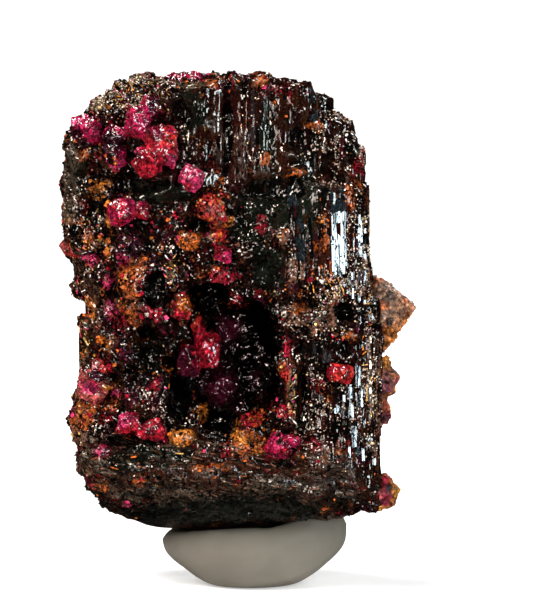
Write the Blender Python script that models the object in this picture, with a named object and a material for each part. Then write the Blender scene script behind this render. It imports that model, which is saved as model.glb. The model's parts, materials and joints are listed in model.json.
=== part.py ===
"""Painite specimen: a stout, striated painite crystal with rubies grown on its broken side, rusty
matrix on its back corner, and the lump of display putty that it stands in.

+Z runs up the crystal, -Y is the broken front and +X the striated side. The origin is on the flat
foot of the putty. The tables hold millimetres, and MM turns them into Blender's metres.
"""

import math
import random

import bmesh
import bpy
from mathutils import Euler, Matrix, Vector

MM = 0.001

# Driving dimensions, in millimetres.
SEAT_HEIGHT = 3.5  # the crystal's underside above the surface that the putty stands on
CORE_TOP = 30.2
CORE_CORNERS = 22  # sides of the core's rounded-rectangle section
CORE_SQUARENESS = 3.0  # exponent of that section: 2 is an ellipse
SEAT_GAP = 0.25  # air left round a crystal in its socket, and between putty and stone
RAGGED = 0.16  # share of its size by which a broken lump's corners wander
STRIATED = 0.035  # the same for the edges of a grown column
CUTTER_SINK = 0.2  # how far a joined shape reaches into the next one

# The core's sections: height, left, right, front, back.
CORE_SECTIONS = (
    (3.5, -5.6, 5.2, -2.2, 4.6),
    (4.6, -7.9, 7.5, -4.8, 6.0),
    (6.4, -9.1, 8.1, -6.9, 6.9),
    (9.0, -9.7, 8.2, -7.2, 7.2),
    (11.5, -9.6, 8.2, -6.6, 7.2),
    (14.0, -8.9, 8.1, -6.2, 7.1),
    (17.0, -9.2, 7.9, -6.1, 7.1),
    (20.5, -10.1, 7.7, -6.1, 7.0),
    (24.0, -10.3, 7.4, -5.9, 6.8),
    (26.3, -9.9, 6.9, -5.5, 6.6),
    (28.2, -8.6, 6.1, -5.0, 6.0),
    (CORE_TOP, -6.0, 3.6, -4.0, 4.8),
)

# Grown columns of the front and right side: x, y, radius, low end, high end, sides, top's slope.
FRONT_COLUMNS = (
    (-5.4, -2.4, 1.9, 24.0, 30.3, 9, 0.12),
    (-7.5, -2.0, 1.6, 21.5, 28.3, 8, 0.55),
    (-8.9, -0.4, 1.4, 17.5, 26.2, 8, 0.60),
    (-2.6, -4.3, 2.1, 22.6, 30.2, 11, 0.05),
    (0.05, -5.1, 0.70, 23.2, 30.8, 7, -0.35),
    (1.10, -5.1, 0.80, 23.6, 30.8, 7, 0.20),
    (2.20, -4.9, 0.80, 24.2, 30.6, 7, -0.30),
    (3.45, -4.6, 1.00, 24.9, 30.3, 8, 0.15),
    (4.70, -4.1, 0.85, 25.0, 29.6, 6, -0.20),
    (5.00, -3.2, 2.05, 21.0, 28.5, 10, -0.34),
    (5.95, -0.8, 1.50, 16.0, 26.6, 9, -0.35),
    (-1.0, -1.5, 2.60, 22.0, 30.4, 9, -0.04),
)

# The two barrel-faced columns at the front right, one above the other, with the planes that trim
# them: a point on the plane, and the way that it faces.
UPPER_BARREL = (4.45, -4.6, 3.30, 17.0, 24.7, 26, -0.12)
UPPER_BARREL_TRIMS = (
    ((1.45, 0.0, 22.5), (-0.82, -0.10, 0.57)),
    ((1.45, 0.0, 22.5), (-0.96, -0.10, -0.27)),
    ((5.70, 0.0, 17.0), (0.22, 0.0, -0.97)),
)
LOWER_BARREL = (5.20, -4.85, 3.20, 5.2, 17.2, 28, 0.10)
LOWER_BARREL_TRIMS = (
    ((2.80, 0.0, 16.4), (-0.60, 0.0, 0.80)),
    ((5.40, -7.9, 6.2), (0.0, -0.55, -0.83)),
)

# Columns round the back: how many, and the ranges of their radius, foot and top.
BACK_COLUMNS = 12
BACK_ARC = (math.radians(-10), math.radians(168))
BACK_RADIUS = (1.3, 2.1)
BACK_FOOT = (6.0, 9.5)
BACK_TOP = (24.6, 28.6)

# Broken lumps of crystal and matrix grown into one with the painite: place, then half sizes.
LUMPS = (
    # upper left corner and edge
    (-8.7, -3.0, 26.3, 1.5, 1.7, 1.9),
    (-9.4, -2.4, 23.6, 1.2, 2.2, 2.0),
    (-7.3, -3.9, 28.4, 1.2, 1.2, 1.2),
    (-5.3, -3.9, 29.9, 1.3, 1.0, 0.9),
    (-8.9, -4.2, 21.4, 1.4, 1.5, 1.5),
    # under the shoulder rubies
    (-6.3, -5.0, 26.0, 1.9, 1.3, 2.0),
    (-4.1, -5.3, 24.6, 1.6, 1.4, 1.5),
    (-7.4, -5.1, 23.4, 1.3, 1.2, 1.2),
    (-5.0, -5.4, 22.3, 1.5, 1.2, 1.0),
    # orange mass and the rim over the hollow
    (-1.5, -6.4, 23.0, 1.35, 1.0, 1.25),
    (-2.9, -6.3, 21.2, 0.9, 0.9, 0.8),
    (-1.9, -6.4, 20.2, 1.0, 0.9, 0.8),
    (-1.0, -6.3, 19.2, 1.0, 1.0, 0.9),
    (-0.1, -6.1, 18.4, 0.9, 0.9, 0.8),
    (1.2, -6.0, 18.0, 0.9, 0.9, 0.7),
    (0.8, -5.8, 20.6, 1.1, 1.0, 1.8),
    (2.6, -7.0, 20.6, 1.2, 0.9, 1.5),
    (3.4, -7.3, 18.7, 1.1, 0.8, 0.9),
    # left flank
    (-6.5, -6.2, 20.8, 1.1, 1.0, 1.0),
    (-8.3, -4.9, 18.6, 1.3, 1.4, 1.9),
    (-8.2, -4.6, 16.0, 1.2, 1.5, 1.9),
    (-7.6, -5.0, 13.9, 1.3, 1.3, 1.5),
    (-6.3, -5.6, 14.7, 1.2, 1.1, 1.2),
    # lower left corner and pocket
    (-8.8, -4.2, 10.5, 1.2, 1.5, 1.2),
    (-8.0, -5.8, 9.6, 1.4, 1.3, 1.3),
    (-8.4, -3.8, 7.4, 1.1, 1.6, 1.4),
    (-5.6, -5.7, 12.0, 1.3, 1.1, 1.4),
    (-4.4, -5.6, 10.9, 1.2, 1.2, 1.0),
    # floor of the hollow
    (-1.15, -6.6, 9.9, 1.2, 1.1, 1.0),
    (-3.2, -6.7, 9.6, 0.9, 0.9, 0.7),
    (0.9, -6.7, 9.9, 1.0, 1.0, 1.0),
    (2.6, -6.9, 11.0, 0.8, 0.9, 1.1),
    # face of the lower barrel
    (3.9, -7.4, 15.9, 1.3, 0.8, 1.0),
    (5.0, -7.6, 15.2, 1.0, 0.6, 0.9),
)

KNOB = ((-4.7, -6.0, 18.0), (2.3, 2.1, 2.45))

# The ragged ledge round the foot, from left to right: x, y, z of each lump.
LEDGE_PATH = (
    (-8.1, -4.8, 8.1),
    (-7.2, -5.9, 7.9),
    (-5.8, -6.6, 7.8),
    (-4.1, -7.0, 7.6),
    (-2.0, -7.2, 7.5),
    (0.1, -7.3, 7.4),
    (2.2, -7.3, 7.1),
    (4.3, -7.1, 6.7),
    (6.2, -6.4, 6.4),
    (7.6, -4.9, 6.3),
)
LEDGE_LUMP = (1.5, 1.0, 0.95)

# Hollows cut from the painite, in the same order as LUMPS.
HOLLOWS = (
    (-4.6, -8.1, 18.9, 0.75, 0.9, 0.6),
    (-4.7, -8.2, 17.8, 0.8, 0.9, 0.6),
    (-5.3, -7.5, 15.9, 0.6, 0.9, 0.5),
    (-5.4, -7.3, 24.1, 1.9, 1.2, 0.55),
    (-8.3, -6.0, 22.4, 0.6, 0.9, 0.6),
    (-3.5, -7.3, 22.6, 1.1, 1.2, 0.7),
    (-5.7, -7.2, 12.4, 1.3, 1.6, 1.4),
    (-0.55, -6.3, 28.2, 0.30, 0.8, 1.7),
    (3.9, -6.2, 26.0, 0.9, 1.1, 1.1),
    (3.75, -7.9, 17.45, 0.9, 1.0, 0.35),
    (6.6, -7.4, 16.7, 0.5, 0.9, 0.9),
    (3.85, -8.1, 12.4, 0.32, 0.9, 2.0),
    (1.0, -7.0, 21.8, 0.8, 0.9, 1.4),
)
FRACTURE = ((1.7, -7.1, 23.7), (2.5, 1.0, 0.5), math.radians(-25))
UNDERCUT = ((-0.4, -9.1, 2.5), (6.0, 4.3, 4.1))

# The crystal-lined hollow of the front: overlapping blobs, and how its crust lies in it.
CAVITY = (
    (-0.1, -6.6, 15.1, 2.5, 4.7, 2.9),
    (-0.9, -6.6, 12.4, 2.5, 4.8, 2.4),
    (1.3, -6.2, 13.2, 1.35, 3.9, 2.9),
    (-1.7, -6.4, 17.2, 1.3, 3.6, 1.3),
    (-3.0, -6.6, 13.6, 1.2, 3.4, 1.6),
)
CRUST_FILL = 0.90  # the crust's back follows the hollow at this share of its size
CRUST_FRONT = -4.3  # and its plane front lies at this y
CRUST_CRYSTALS = (
    (-1.0, -4.6, 12.2, 1.1, 1.2, 1.0),
    (0.3, -4.3, 15.9, 0.9, 1.0, 0.8),
    (1.4, -4.1, 13.9, 0.7, 0.9, 1.1),
    (0.5, -4.2, 14.4, 0.8, 0.9, 0.7),
    (-1.2, -3.9, 16.7, 0.6, 0.7, 0.6),
    (1.3, -4.2, 12.0, 0.6, 0.9, 0.7),
    (-2.6, -4.2, 12.9, 0.6, 0.9, 0.8),
    (0.4, -4.4, 11.1, 0.7, 0.8, 0.6),
)

# Ruby crystals, each a node of its own where its crystals touch: place, then half sizes.
RUBIES = {
    "ruby_shoulder_outer": ((-8.8, -4.1, 27.6, 1.05, 1.1, 1.15),),
    "ruby_shoulder_drop": (
        (-7.3, -5.3, 27.1, 0.80, 0.9, 0.80),
        (-7.2, -5.6, 26.2, 0.75, 0.9, 0.90),
    ),
    "ruby_shoulder_cluster": (
        (-5.75, -5.9, 28.1, 0.90, 0.9, 0.95),
        (-5.0, -5.4, 28.9, 0.65, 0.8, 0.80),
        (-4.5, -6.4, 27.0, 1.10, 1.0, 1.10),
        (-5.3, -6.7, 25.7, 0.95, 1.0, 0.95),
        (-4.1, -6.7, 26.2, 0.75, 0.9, 0.80),
    ),
    "ruby_shoulder_tip": ((-2.6, -6.9, 24.9, 0.95, 0.9, 0.95),),
    "ruby_waist": (
        (-6.75, -6.5, 22.9, 1.05, 1.0, 0.95),
        (-5.45, -6.5, 23.0, 0.60, 0.7, 0.60),
    ),
    "ruby_left_edge": ((-9.7, -3.9, 20.6, 0.85, 1.0, 0.65),),
    "ruby_round": ((-0.85, -6.9, 20.4, 0.55, 0.6, 0.60),),
    "ruby_knob": ((-3.3, -7.4, 17.4, 0.80, 0.8, 1.0),),
    "ruby_cavity": (
        (-2.8, -5.5, 13.9, 0.85, 1.0, 1.10),
        (-1.8, -5.3, 14.6, 0.95, 1.0, 1.25),
        (-2.3, -5.6, 16.0, 0.45, 0.5, 0.75),
    ),
    "ruby_column": ((6.0, -7.8, 13.5, 0.85, 0.8, 0.75),),
    "ruby_ledge_left": (
        (-6.3, -6.7, 10.4, 0.80, 0.8, 0.65),
        (-5.0, -6.9, 10.0, 1.05, 0.8, 0.70),
    ),
    "ruby_ledge_right": ((2.5, -7.6, 9.2, 1.05, 0.8, 0.85),),
    "ruby_flank": (
        (-8.2, -5.0, 13.3, 1.10, 1.2, 1.15),
        (-8.5, -4.6, 12.1, 1.00, 1.1, 0.90),
    ),
    "ruby_crown": (
        (-3.4, -3.0, 30.5, 0.95, 0.9, 0.50),
        (-2.4, -3.2, 30.5, 0.90, 0.8, 0.45),
    ),
}

# Small rubies fused to the painite: x, y, z and half size.
SMALL_RUBIES = (
    (2.3, -6.9, 15.4, 0.50),
    (2.2, -6.9, 14.1, 0.55),
    (-0.1, -6.8, 17.9, 0.50),
    (1.1, -6.7, 17.9, 0.55),
    (-2.9, -7.0, 21.3, 0.50),
    (-7.5, -5.9, 20.2, 0.50),
    (-9.3, -5.1, 16.0, 0.45),
    (-9.6, -3.9, 10.2, 0.55),
    (2.9, -7.4, 10.6, 0.50),
    (6.9, -6.9, 15.0, 0.45),
    (5.0, -8.0, 13.0, 0.35),
    (3.7, -5.3, 28.6, 0.40),
    (-9.2, 2.2, 21.0, 0.70),
    (-8.6, 4.0, 12.4, 0.60),
    (-4.2, 7.6, 18.4, 0.75),
    (2.4, 7.9, 23.2, 0.65),
    (-1.0, 7.9, 10.0, 0.80),
    (5.6, 7.0, 9.6, 0.60),
    (8.2, 2.6, 22.6, 0.60),
)

# Rusty matrix behind the striated side: node, place, half sizes.
MATRIX = {
    "matrix_upper": ((9.0, 2.7, 15.9, 1.9, 2.3, 2.6),),
    "matrix_middle": (
        (8.6, 1.7, 12.1, 1.25, 1.8, 1.6),
        (8.4, 2.0, 10.2, 1.0, 1.6, 1.3),
    ),
    "matrix_foot": ((8.35, -4.0, 6.0, 1.25, 1.3, 1.15),),
}
MATRIX_UPPER_TRIMS = (
    ((10.65, 0.0, 16.5), (0.62, 0.0, 0.78)),
    ((10.65, 0.0, 16.5), (0.82, 0.0, -0.57)),
    ((9.5, 0.9, 16.0), (0.45, -0.88, 0.15)),
    ((9.5, 4.6, 16.0), (0.50, 0.85, 0.10)),
)

# The putty: middle, half sizes, and where it is cut flat above the stone's underside.
PUTTY_MIDDLE = (1.0, 0.0, 2.4)
PUTTY_HALF_SIZES = (5.65, 4.9, 2.95)

PAINITE_COLOUR = (0.045, 0.022, 0.020)
CRUST_COLOUR = (0.110, 0.020, 0.035)
RUBY_COLOUR = (0.420, 0.015, 0.065)
MATRIX_COLOUR = (0.300, 0.130, 0.060)
PUTTY_COLOUR = (0.360, 0.320, 0.295)


def metres(values):
    """A place or a size from the tables, as a vector in metres."""
    return Vector(values) * MM


def clear_scene():
    for old in list(bpy.data.objects):
        bpy.data.objects.remove(old)


def finish_material(name, colour, roughness):
    material = bpy.data.materials.new(name)
    material.use_nodes = True
    shader = material.node_tree.nodes["Principled BSDF"]
    shader.inputs["Base Color"].default_value = (*colour, 1.0)
    shader.inputs["Roughness"].default_value = roughness
    return material


def new_object(name, bm, material=None):
    """The bmesh as an object. One with no material is a helper, which is left out of renders."""
    bmesh.ops.recalc_face_normals(bm, faces=bm.faces[:])
    mesh = bpy.data.meshes.new(name)
    bm.to_mesh(mesh)
    bm.free()
    obj = bpy.data.objects.new(name, mesh)
    bpy.context.scene.collection.objects.link(obj)
    if material is None:
        obj.hide_render = True
        obj.display_type = "WIRE"
    else:
        mesh.materials.append(material)
    return obj


def trim(bm, point, facing):
    """Cuts away what lies past a plane, and closes the cut."""
    everything = bm.verts[:] + bm.edges[:] + bm.faces[:]
    cut = bmesh.ops.bisect_plane(
        bm, geom=everything, dist=1e-8, plane_co=point, plane_no=facing, clear_outer=True
    )
    rim = [part for part in cut["geom_cut"] if isinstance(part, bmesh.types.BMEdge)]
    if rim:
        bmesh.ops.contextual_create(bm, geom=rim)


def place(bm, middle, turn=(0.0, 0.0, 0.0)):
    matrix = Matrix.Translation(metres(middle)) @ Euler(turn).to_matrix().to_4x4()
    bmesh.ops.transform(bm, matrix=matrix, verts=bm.verts[:])


def lump(middle, half_sizes, dice, detail=2, ragged=RAGGED, turn=(0.0, 0.0, 0.0)):
    """A broken lump: a ball of flat facets with wandering corners, drawn out to its half sizes."""
    bm = bmesh.new()
    bmesh.ops.create_icosphere(bm, subdivisions=detail, radius=1.0)
    spin = Euler([dice.uniform(0, math.tau) for _ in range(3)]).to_matrix()
    for vert in bm.verts:
        vert.co = spin @ vert.co * (1 + dice.uniform(-ragged, ragged))
    bmesh.ops.scale(bm, vec=metres(half_sizes), verts=bm.verts[:])
    place(bm, middle, turn)
    return bm


def corundum(middle, half_sizes, dice, grow=0.0):
    """A stubby ruby crystal: six rhombohedron faces, six steep sides and two flat ends. grow moves
    every face out by that many millimetres, for the socket that the crystal sits in."""
    bm = bmesh.new()
    bmesh.ops.create_cube(bm, size=2.4)
    faces = [(Vector((0, 0, end)), dice.uniform(0.66, 0.86)) for end in (1, -1)]
    for index in range(6):
        around = math.radians(60 * index + dice.uniform(-6, 6))
        side = Vector((math.cos(around), math.sin(around), 0))
        faces.append((side, dice.uniform(0.78, 0.98)))
        slope = side + Vector((0, 0, 0.72 if index % 2 else -0.72))
        faces.append((slope.normalized(), dice.uniform(0.78, 0.92)))
    for facing, distance in faces:
        trim(bm, facing * distance, facing)
    spin = Euler([dice.uniform(0, math.tau) for _ in range(3)]).to_matrix()
    bmesh.ops.rotate(bm, matrix=spin, verts=bm.verts[:])
    bmesh.ops.scale(bm, vec=metres([size + grow for size in half_sizes]), verts=bm.verts[:])
    place(bm, middle)
    return bm


def column(x, y, radius, low, high, sides, slope, dice, trims=()):
    """A grown column with uneven flat sides and a sloping top, trimmed by planes."""
    bm = bmesh.new()
    height = high - low + radius
    bmesh.ops.create_cone(
        bm, cap_ends=True, segments=sides, radius1=radius * MM, radius2=radius * MM, depth=height * MM
    )
    bmesh.ops.rotate(bm, matrix=Matrix.Rotation(dice.uniform(0, math.tau), 3, "Z"), verts=bm.verts[:])
    uneven = [1 + dice.uniform(-STRIATED, STRIATED) * 12 / sides * 2 for _ in range(sides)]
    for index, vert in enumerate(sorted(bm.verts, key=lambda v: math.atan2(v.co.y, v.co.x))):
        vert.co.xy *= uneven[index // 2]
    place(bm, (x, y, low + height / 2))
    trim(bm, metres((x, y, high)), Vector((-slope, dice.uniform(-0.12, 0.04), 1)).normalized())
    for point, facing in trims:
        trim(bm, metres(point), Vector(facing).normalized())
    return bm


def core():
    """The crystal's body: rounded-rectangle sections, one for each row of CORE_SECTIONS."""
    bm = bmesh.new()
    ring = bmesh.ops.create_circle(bm, segments=CORE_CORNERS, radius=1.0)["verts"]
    directions = [vert.co.normalized() for vert in ring]
    edges = bm.edges[:]
    for index, (height, left, right, front, back) in enumerate(CORE_SECTIONS):
        if index:
            extruded = bmesh.ops.extrude_edge_only(bm, edges=edges)["geom"]
            ring = [part for part in extruded if isinstance(part, bmesh.types.BMVert)]
            edges = [part for part in extruded if isinstance(part, bmesh.types.BMEdge)]
        middle = Vector(((left + right) / 2, (front + back) / 2, height))
        half = ((right - left) / 2, (back - front) / 2)
        for vert, way in zip(ring, directions, strict=True):
            power = sum(abs(part) ** CORE_SQUARENESS for part in way.xy)
            reach = power ** (-1 / CORE_SQUARENESS)
            vert.co = metres(middle + Vector((way.x * reach * half[0], way.y * reach * half[1], 0)))
    bmesh.ops.holes_fill(bm, edges=bm.edges[:], sides=0)
    return bm


def combine(target, helpers, operation):
    """Joins the helpers to the target, or cuts them from it, and clears them away."""
    group = bpy.data.collections.new("tools")
    for helper in helpers:
        group.objects.link(helper)
    step = target.modifiers.new(operation.lower(), "BOOLEAN")
    step.operation = operation
    step.operand_type = "COLLECTION"
    step.collection = group
    step.solver = "EXACT"
    graph = bpy.context.evaluated_depsgraph_get()
    made = bpy.data.meshes.new_from_object(target.evaluated_get(graph))
    target.modifiers.clear()
    target.data = made
    for helper in helpers:
        bpy.data.objects.remove(helper)
    bpy.data.collections.remove(group)


def keep_largest_piece(obj):
    """Drops the crumbs that a cut leaves loose from the main body."""
    bm = bmesh.new()
    bm.from_mesh(obj.data)
    unseen = set(bm.verts)
    pieces = []
    while unseen:
        queue = [unseen.pop()]
        piece = set(queue)
        while queue:
            vert = queue.pop()
            near = {edge.other_vert(vert) for edge in vert.link_edges} & unseen
            piece |= near
            unseen -= near
            queue.extend(near)
        pieces.append(piece)
    largest = max(pieces, key=len)
    bmesh.ops.delete(bm, geom=[v for v in bm.verts if v not in largest], context="VERTS")
    bm.to_mesh(obj.data)
    bm.free()


def back_columns(dice):
    """Columns in a row round the back, set on the core's outline at mid height."""
    shapes = []
    start, end = BACK_ARC
    for index in range(BACK_COLUMNS):
        around = start + (end - start) * (index + 0.5) / BACK_COLUMNS + dice.uniform(-0.05, 0.05)
        way = Vector((math.cos(around), math.sin(around)))
        reach = sum(abs(part) ** CORE_SQUARENESS for part in way) ** (-1 / CORE_SQUARENESS)
        radius = dice.uniform(*BACK_RADIUS)
        x = -1.1 + way.x * reach * (8.7 - radius)
        y = 0.3 + way.y * reach * (7.5 - radius)
        foot, top = dice.uniform(*BACK_FOOT), dice.uniform(*BACK_TOP)
        shapes.append(column(x, y, radius, foot, top, dice.randint(7, 10), -0.3 * way.x, dice))
    return shapes


def painite(material):
    dice = random.Random(41)
    body = new_object("painite_crystal", core(), material)
    shapes = [column(*row, dice) for row in FRONT_COLUMNS]
    shapes.append(column(*UPPER_BARREL, dice, UPPER_BARREL_TRIMS))
    shapes.append(column(*LOWER_BARREL, dice, LOWER_BARREL_TRIMS))
    shapes += back_columns(dice)
    combine(body, [new_object("column", shape) for shape in shapes], "UNION")

    rough = [lump(row[:3], row[3:], dice, detail=2 if min(row[3:]) > 1.35 else 1) for row in LUMPS]
    rough.append(lump(*KNOB, dice, ragged=0.08))
    rough += [lump(point, LEDGE_LUMP, dice, detail=1) for point in LEDGE_PATH]
    combine(body, [new_object("lump", shape) for shape in rough], "UNION")

    cuts = [lump(row[:3], row[3:], dice, detail=1, ragged=0.10) for row in HOLLOWS]
    middle, half_sizes, lean = FRACTURE
    cuts.append(lump(middle, half_sizes, dice, ragged=0.05, turn=(0, lean, 0)))
    cuts.append(lump(*UNDERCUT, dice, ragged=0.04))
    cuts += [lump(row[:3], row[3:], dice, ragged=0.06) for row in CAVITY]
    combine(body, [new_object("cut", shape) for shape in cuts], "DIFFERENCE")

    small = [corundum(row[:3], (row[3],) * 3, dice) for row in SMALL_RUBIES]
    combine(body, [new_object("small_ruby", shape) for shape in small], "UNION")
    return body


def ruby_shapes(name, crystals, grow=0.0):
    """One cluster's crystals. The same name gives the same crystals, grown or not."""
    dice = random.Random(name)
    return [corundum(row[:3], row[3:], dice, grow) for row in crystals]


def matrix_shapes(name, lumps, grow=0.0):
    """One chunk's lumps. The same name gives the same lumps, grown or not."""
    dice = random.Random(name)
    shapes = []
    for row in lumps:
        half_sizes = [size + grow for size in row[3:]]
        shapes.append(lump(row[:3], half_sizes, dice))
        if name == "matrix_upper":
            for point, facing in MATRIX_UPPER_TRIMS:
                out = Vector(facing).normalized()
                trim(shapes[-1], metres(point) + out * grow * MM, out)
    return shapes


def cluster(name, shapes, material):
    """Several overlapping shapes as one solid."""
    first, *others = shapes
    obj = new_object(name, first, material)
    if others:
        combine(obj, [new_object("crystal", shape) for shape in others], "UNION")
    return obj


def crust_shapes(grow=0.0):
    """The hollow's crystals: a lining that follows its back wall, with crystals standing on it."""
    dice = random.Random(7)
    shapes = []
    for row in CAVITY:
        half_sizes = [size * CRUST_FILL + grow for size in row[3:]]
        lining = lump(row[:3], half_sizes, dice, detail=1, ragged=0.03)
        trim(lining, metres((0, CRUST_FRONT - grow, 0)), Vector((0, -1, 0)))
        shapes.append(lining)
    shapes += [corundum(row[:3], row[3:], dice, grow) for row in CRUST_CRYSTALS]
    return shapes


def putty(material):
    """A thumbed lump with a flat foot, its top pressed to the stone's underside."""
    dice = random.Random(3)
    bm = lump(PUTTY_MIDDLE, PUTTY_HALF_SIZES, dice, detail=3, ragged=0.012)
    trim(bm, Vector((0, 0, 0)), Vector((0, 0, -1)))
    obj = new_object("display_putty", bm, material)
    press = core()
    bmesh.ops.transform(
        press,
        matrix=Matrix.Translation(metres((0, 0, -SEAT_GAP))) @ Matrix.Diagonal((1.04, 1.04, 1, 1)),
        verts=press.verts[:],
    )
    combine(obj, [new_object("press", press)], "DIFFERENCE")
    return obj


def main():
    clear_scene()
    dark = finish_material("painite", PAINITE_COLOUR, 0.30)
    ruby = finish_material("ruby", RUBY_COLOUR, 0.15)
    rusty = finish_material("matrix", MATRIX_COLOUR, 0.75)
    lining = finish_material("crust", CRUST_COLOUR, 0.25)
    clay = finish_material("putty", PUTTY_COLOUR, 0.65)

    body = painite(dark)
    sockets = []
    for name, crystals in RUBIES.items():
        cluster(name, ruby_shapes(name, crystals), ruby)
        sockets += ruby_shapes(name, crystals, SEAT_GAP)
    for name, lumps in MATRIX.items():
        cluster(name, matrix_shapes(name, lumps), rusty)
        sockets += matrix_shapes(name, lumps, SEAT_GAP)
    sockets += crust_shapes(SEAT_GAP)
    combine(body, [new_object("socket", shape) for shape in sockets], "DIFFERENCE")
    keep_largest_piece(body)

    crust = cluster("cavity_crust", crust_shapes(), lining)
    inner = ruby_shapes("ruby_cavity", RUBIES["ruby_cavity"], SEAT_GAP)
    combine(crust, [new_object("socket", shape) for shape in inner], "DIFFERENCE")
    keep_largest_piece(crust)
    putty(clay)


main()
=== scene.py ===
"""Painite specimen: the looks of a stout painite crystal with rubies, rusty matrix and a dark
crystal-lined hollow, standing in a lump of display putty.

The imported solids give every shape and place. Tables hold millimetres along the solids' own axes: +Z up
the crystal, -Y out of the rough front, +X towards the striated side.
"""

import json
import math
import random

import bmesh
import bpy
import numpy as np
from bpy.props import FloatProperty, FloatVectorProperty, IntProperty, PointerProperty
from mathutils import Euler, Matrix, Vector, noise
from mathutils.bvhtree import BVHTree

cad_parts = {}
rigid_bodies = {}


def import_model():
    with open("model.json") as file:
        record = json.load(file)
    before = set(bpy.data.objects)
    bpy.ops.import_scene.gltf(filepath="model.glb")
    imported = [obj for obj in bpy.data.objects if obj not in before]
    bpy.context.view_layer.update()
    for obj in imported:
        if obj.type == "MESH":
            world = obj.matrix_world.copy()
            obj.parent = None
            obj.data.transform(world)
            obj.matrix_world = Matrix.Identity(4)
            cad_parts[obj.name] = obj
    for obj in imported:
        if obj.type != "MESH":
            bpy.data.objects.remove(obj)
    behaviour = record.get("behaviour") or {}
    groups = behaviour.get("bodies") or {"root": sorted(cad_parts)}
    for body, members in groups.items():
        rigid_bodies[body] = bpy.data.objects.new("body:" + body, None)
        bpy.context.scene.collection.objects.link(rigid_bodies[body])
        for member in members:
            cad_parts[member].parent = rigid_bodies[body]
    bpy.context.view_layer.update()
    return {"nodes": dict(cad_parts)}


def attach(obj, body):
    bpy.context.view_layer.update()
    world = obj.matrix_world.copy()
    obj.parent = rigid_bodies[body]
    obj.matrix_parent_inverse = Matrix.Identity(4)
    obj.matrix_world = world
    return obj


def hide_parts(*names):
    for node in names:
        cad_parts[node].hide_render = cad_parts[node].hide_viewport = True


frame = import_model()
NODES = frame["nodes"]

bl_info = {
    "name": "Painite Specimen",
    "version": (1, 0, 0),
    "blender": (4, 5, 0),
    "location": "View3D > Sidebar > Painite",
    "description": "Dresses the solids of a painite and ruby specimen",
    "category": "Object",
}

MM = 0.001
HALF = Vector((0.5, 0.5, 0.5))

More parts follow.
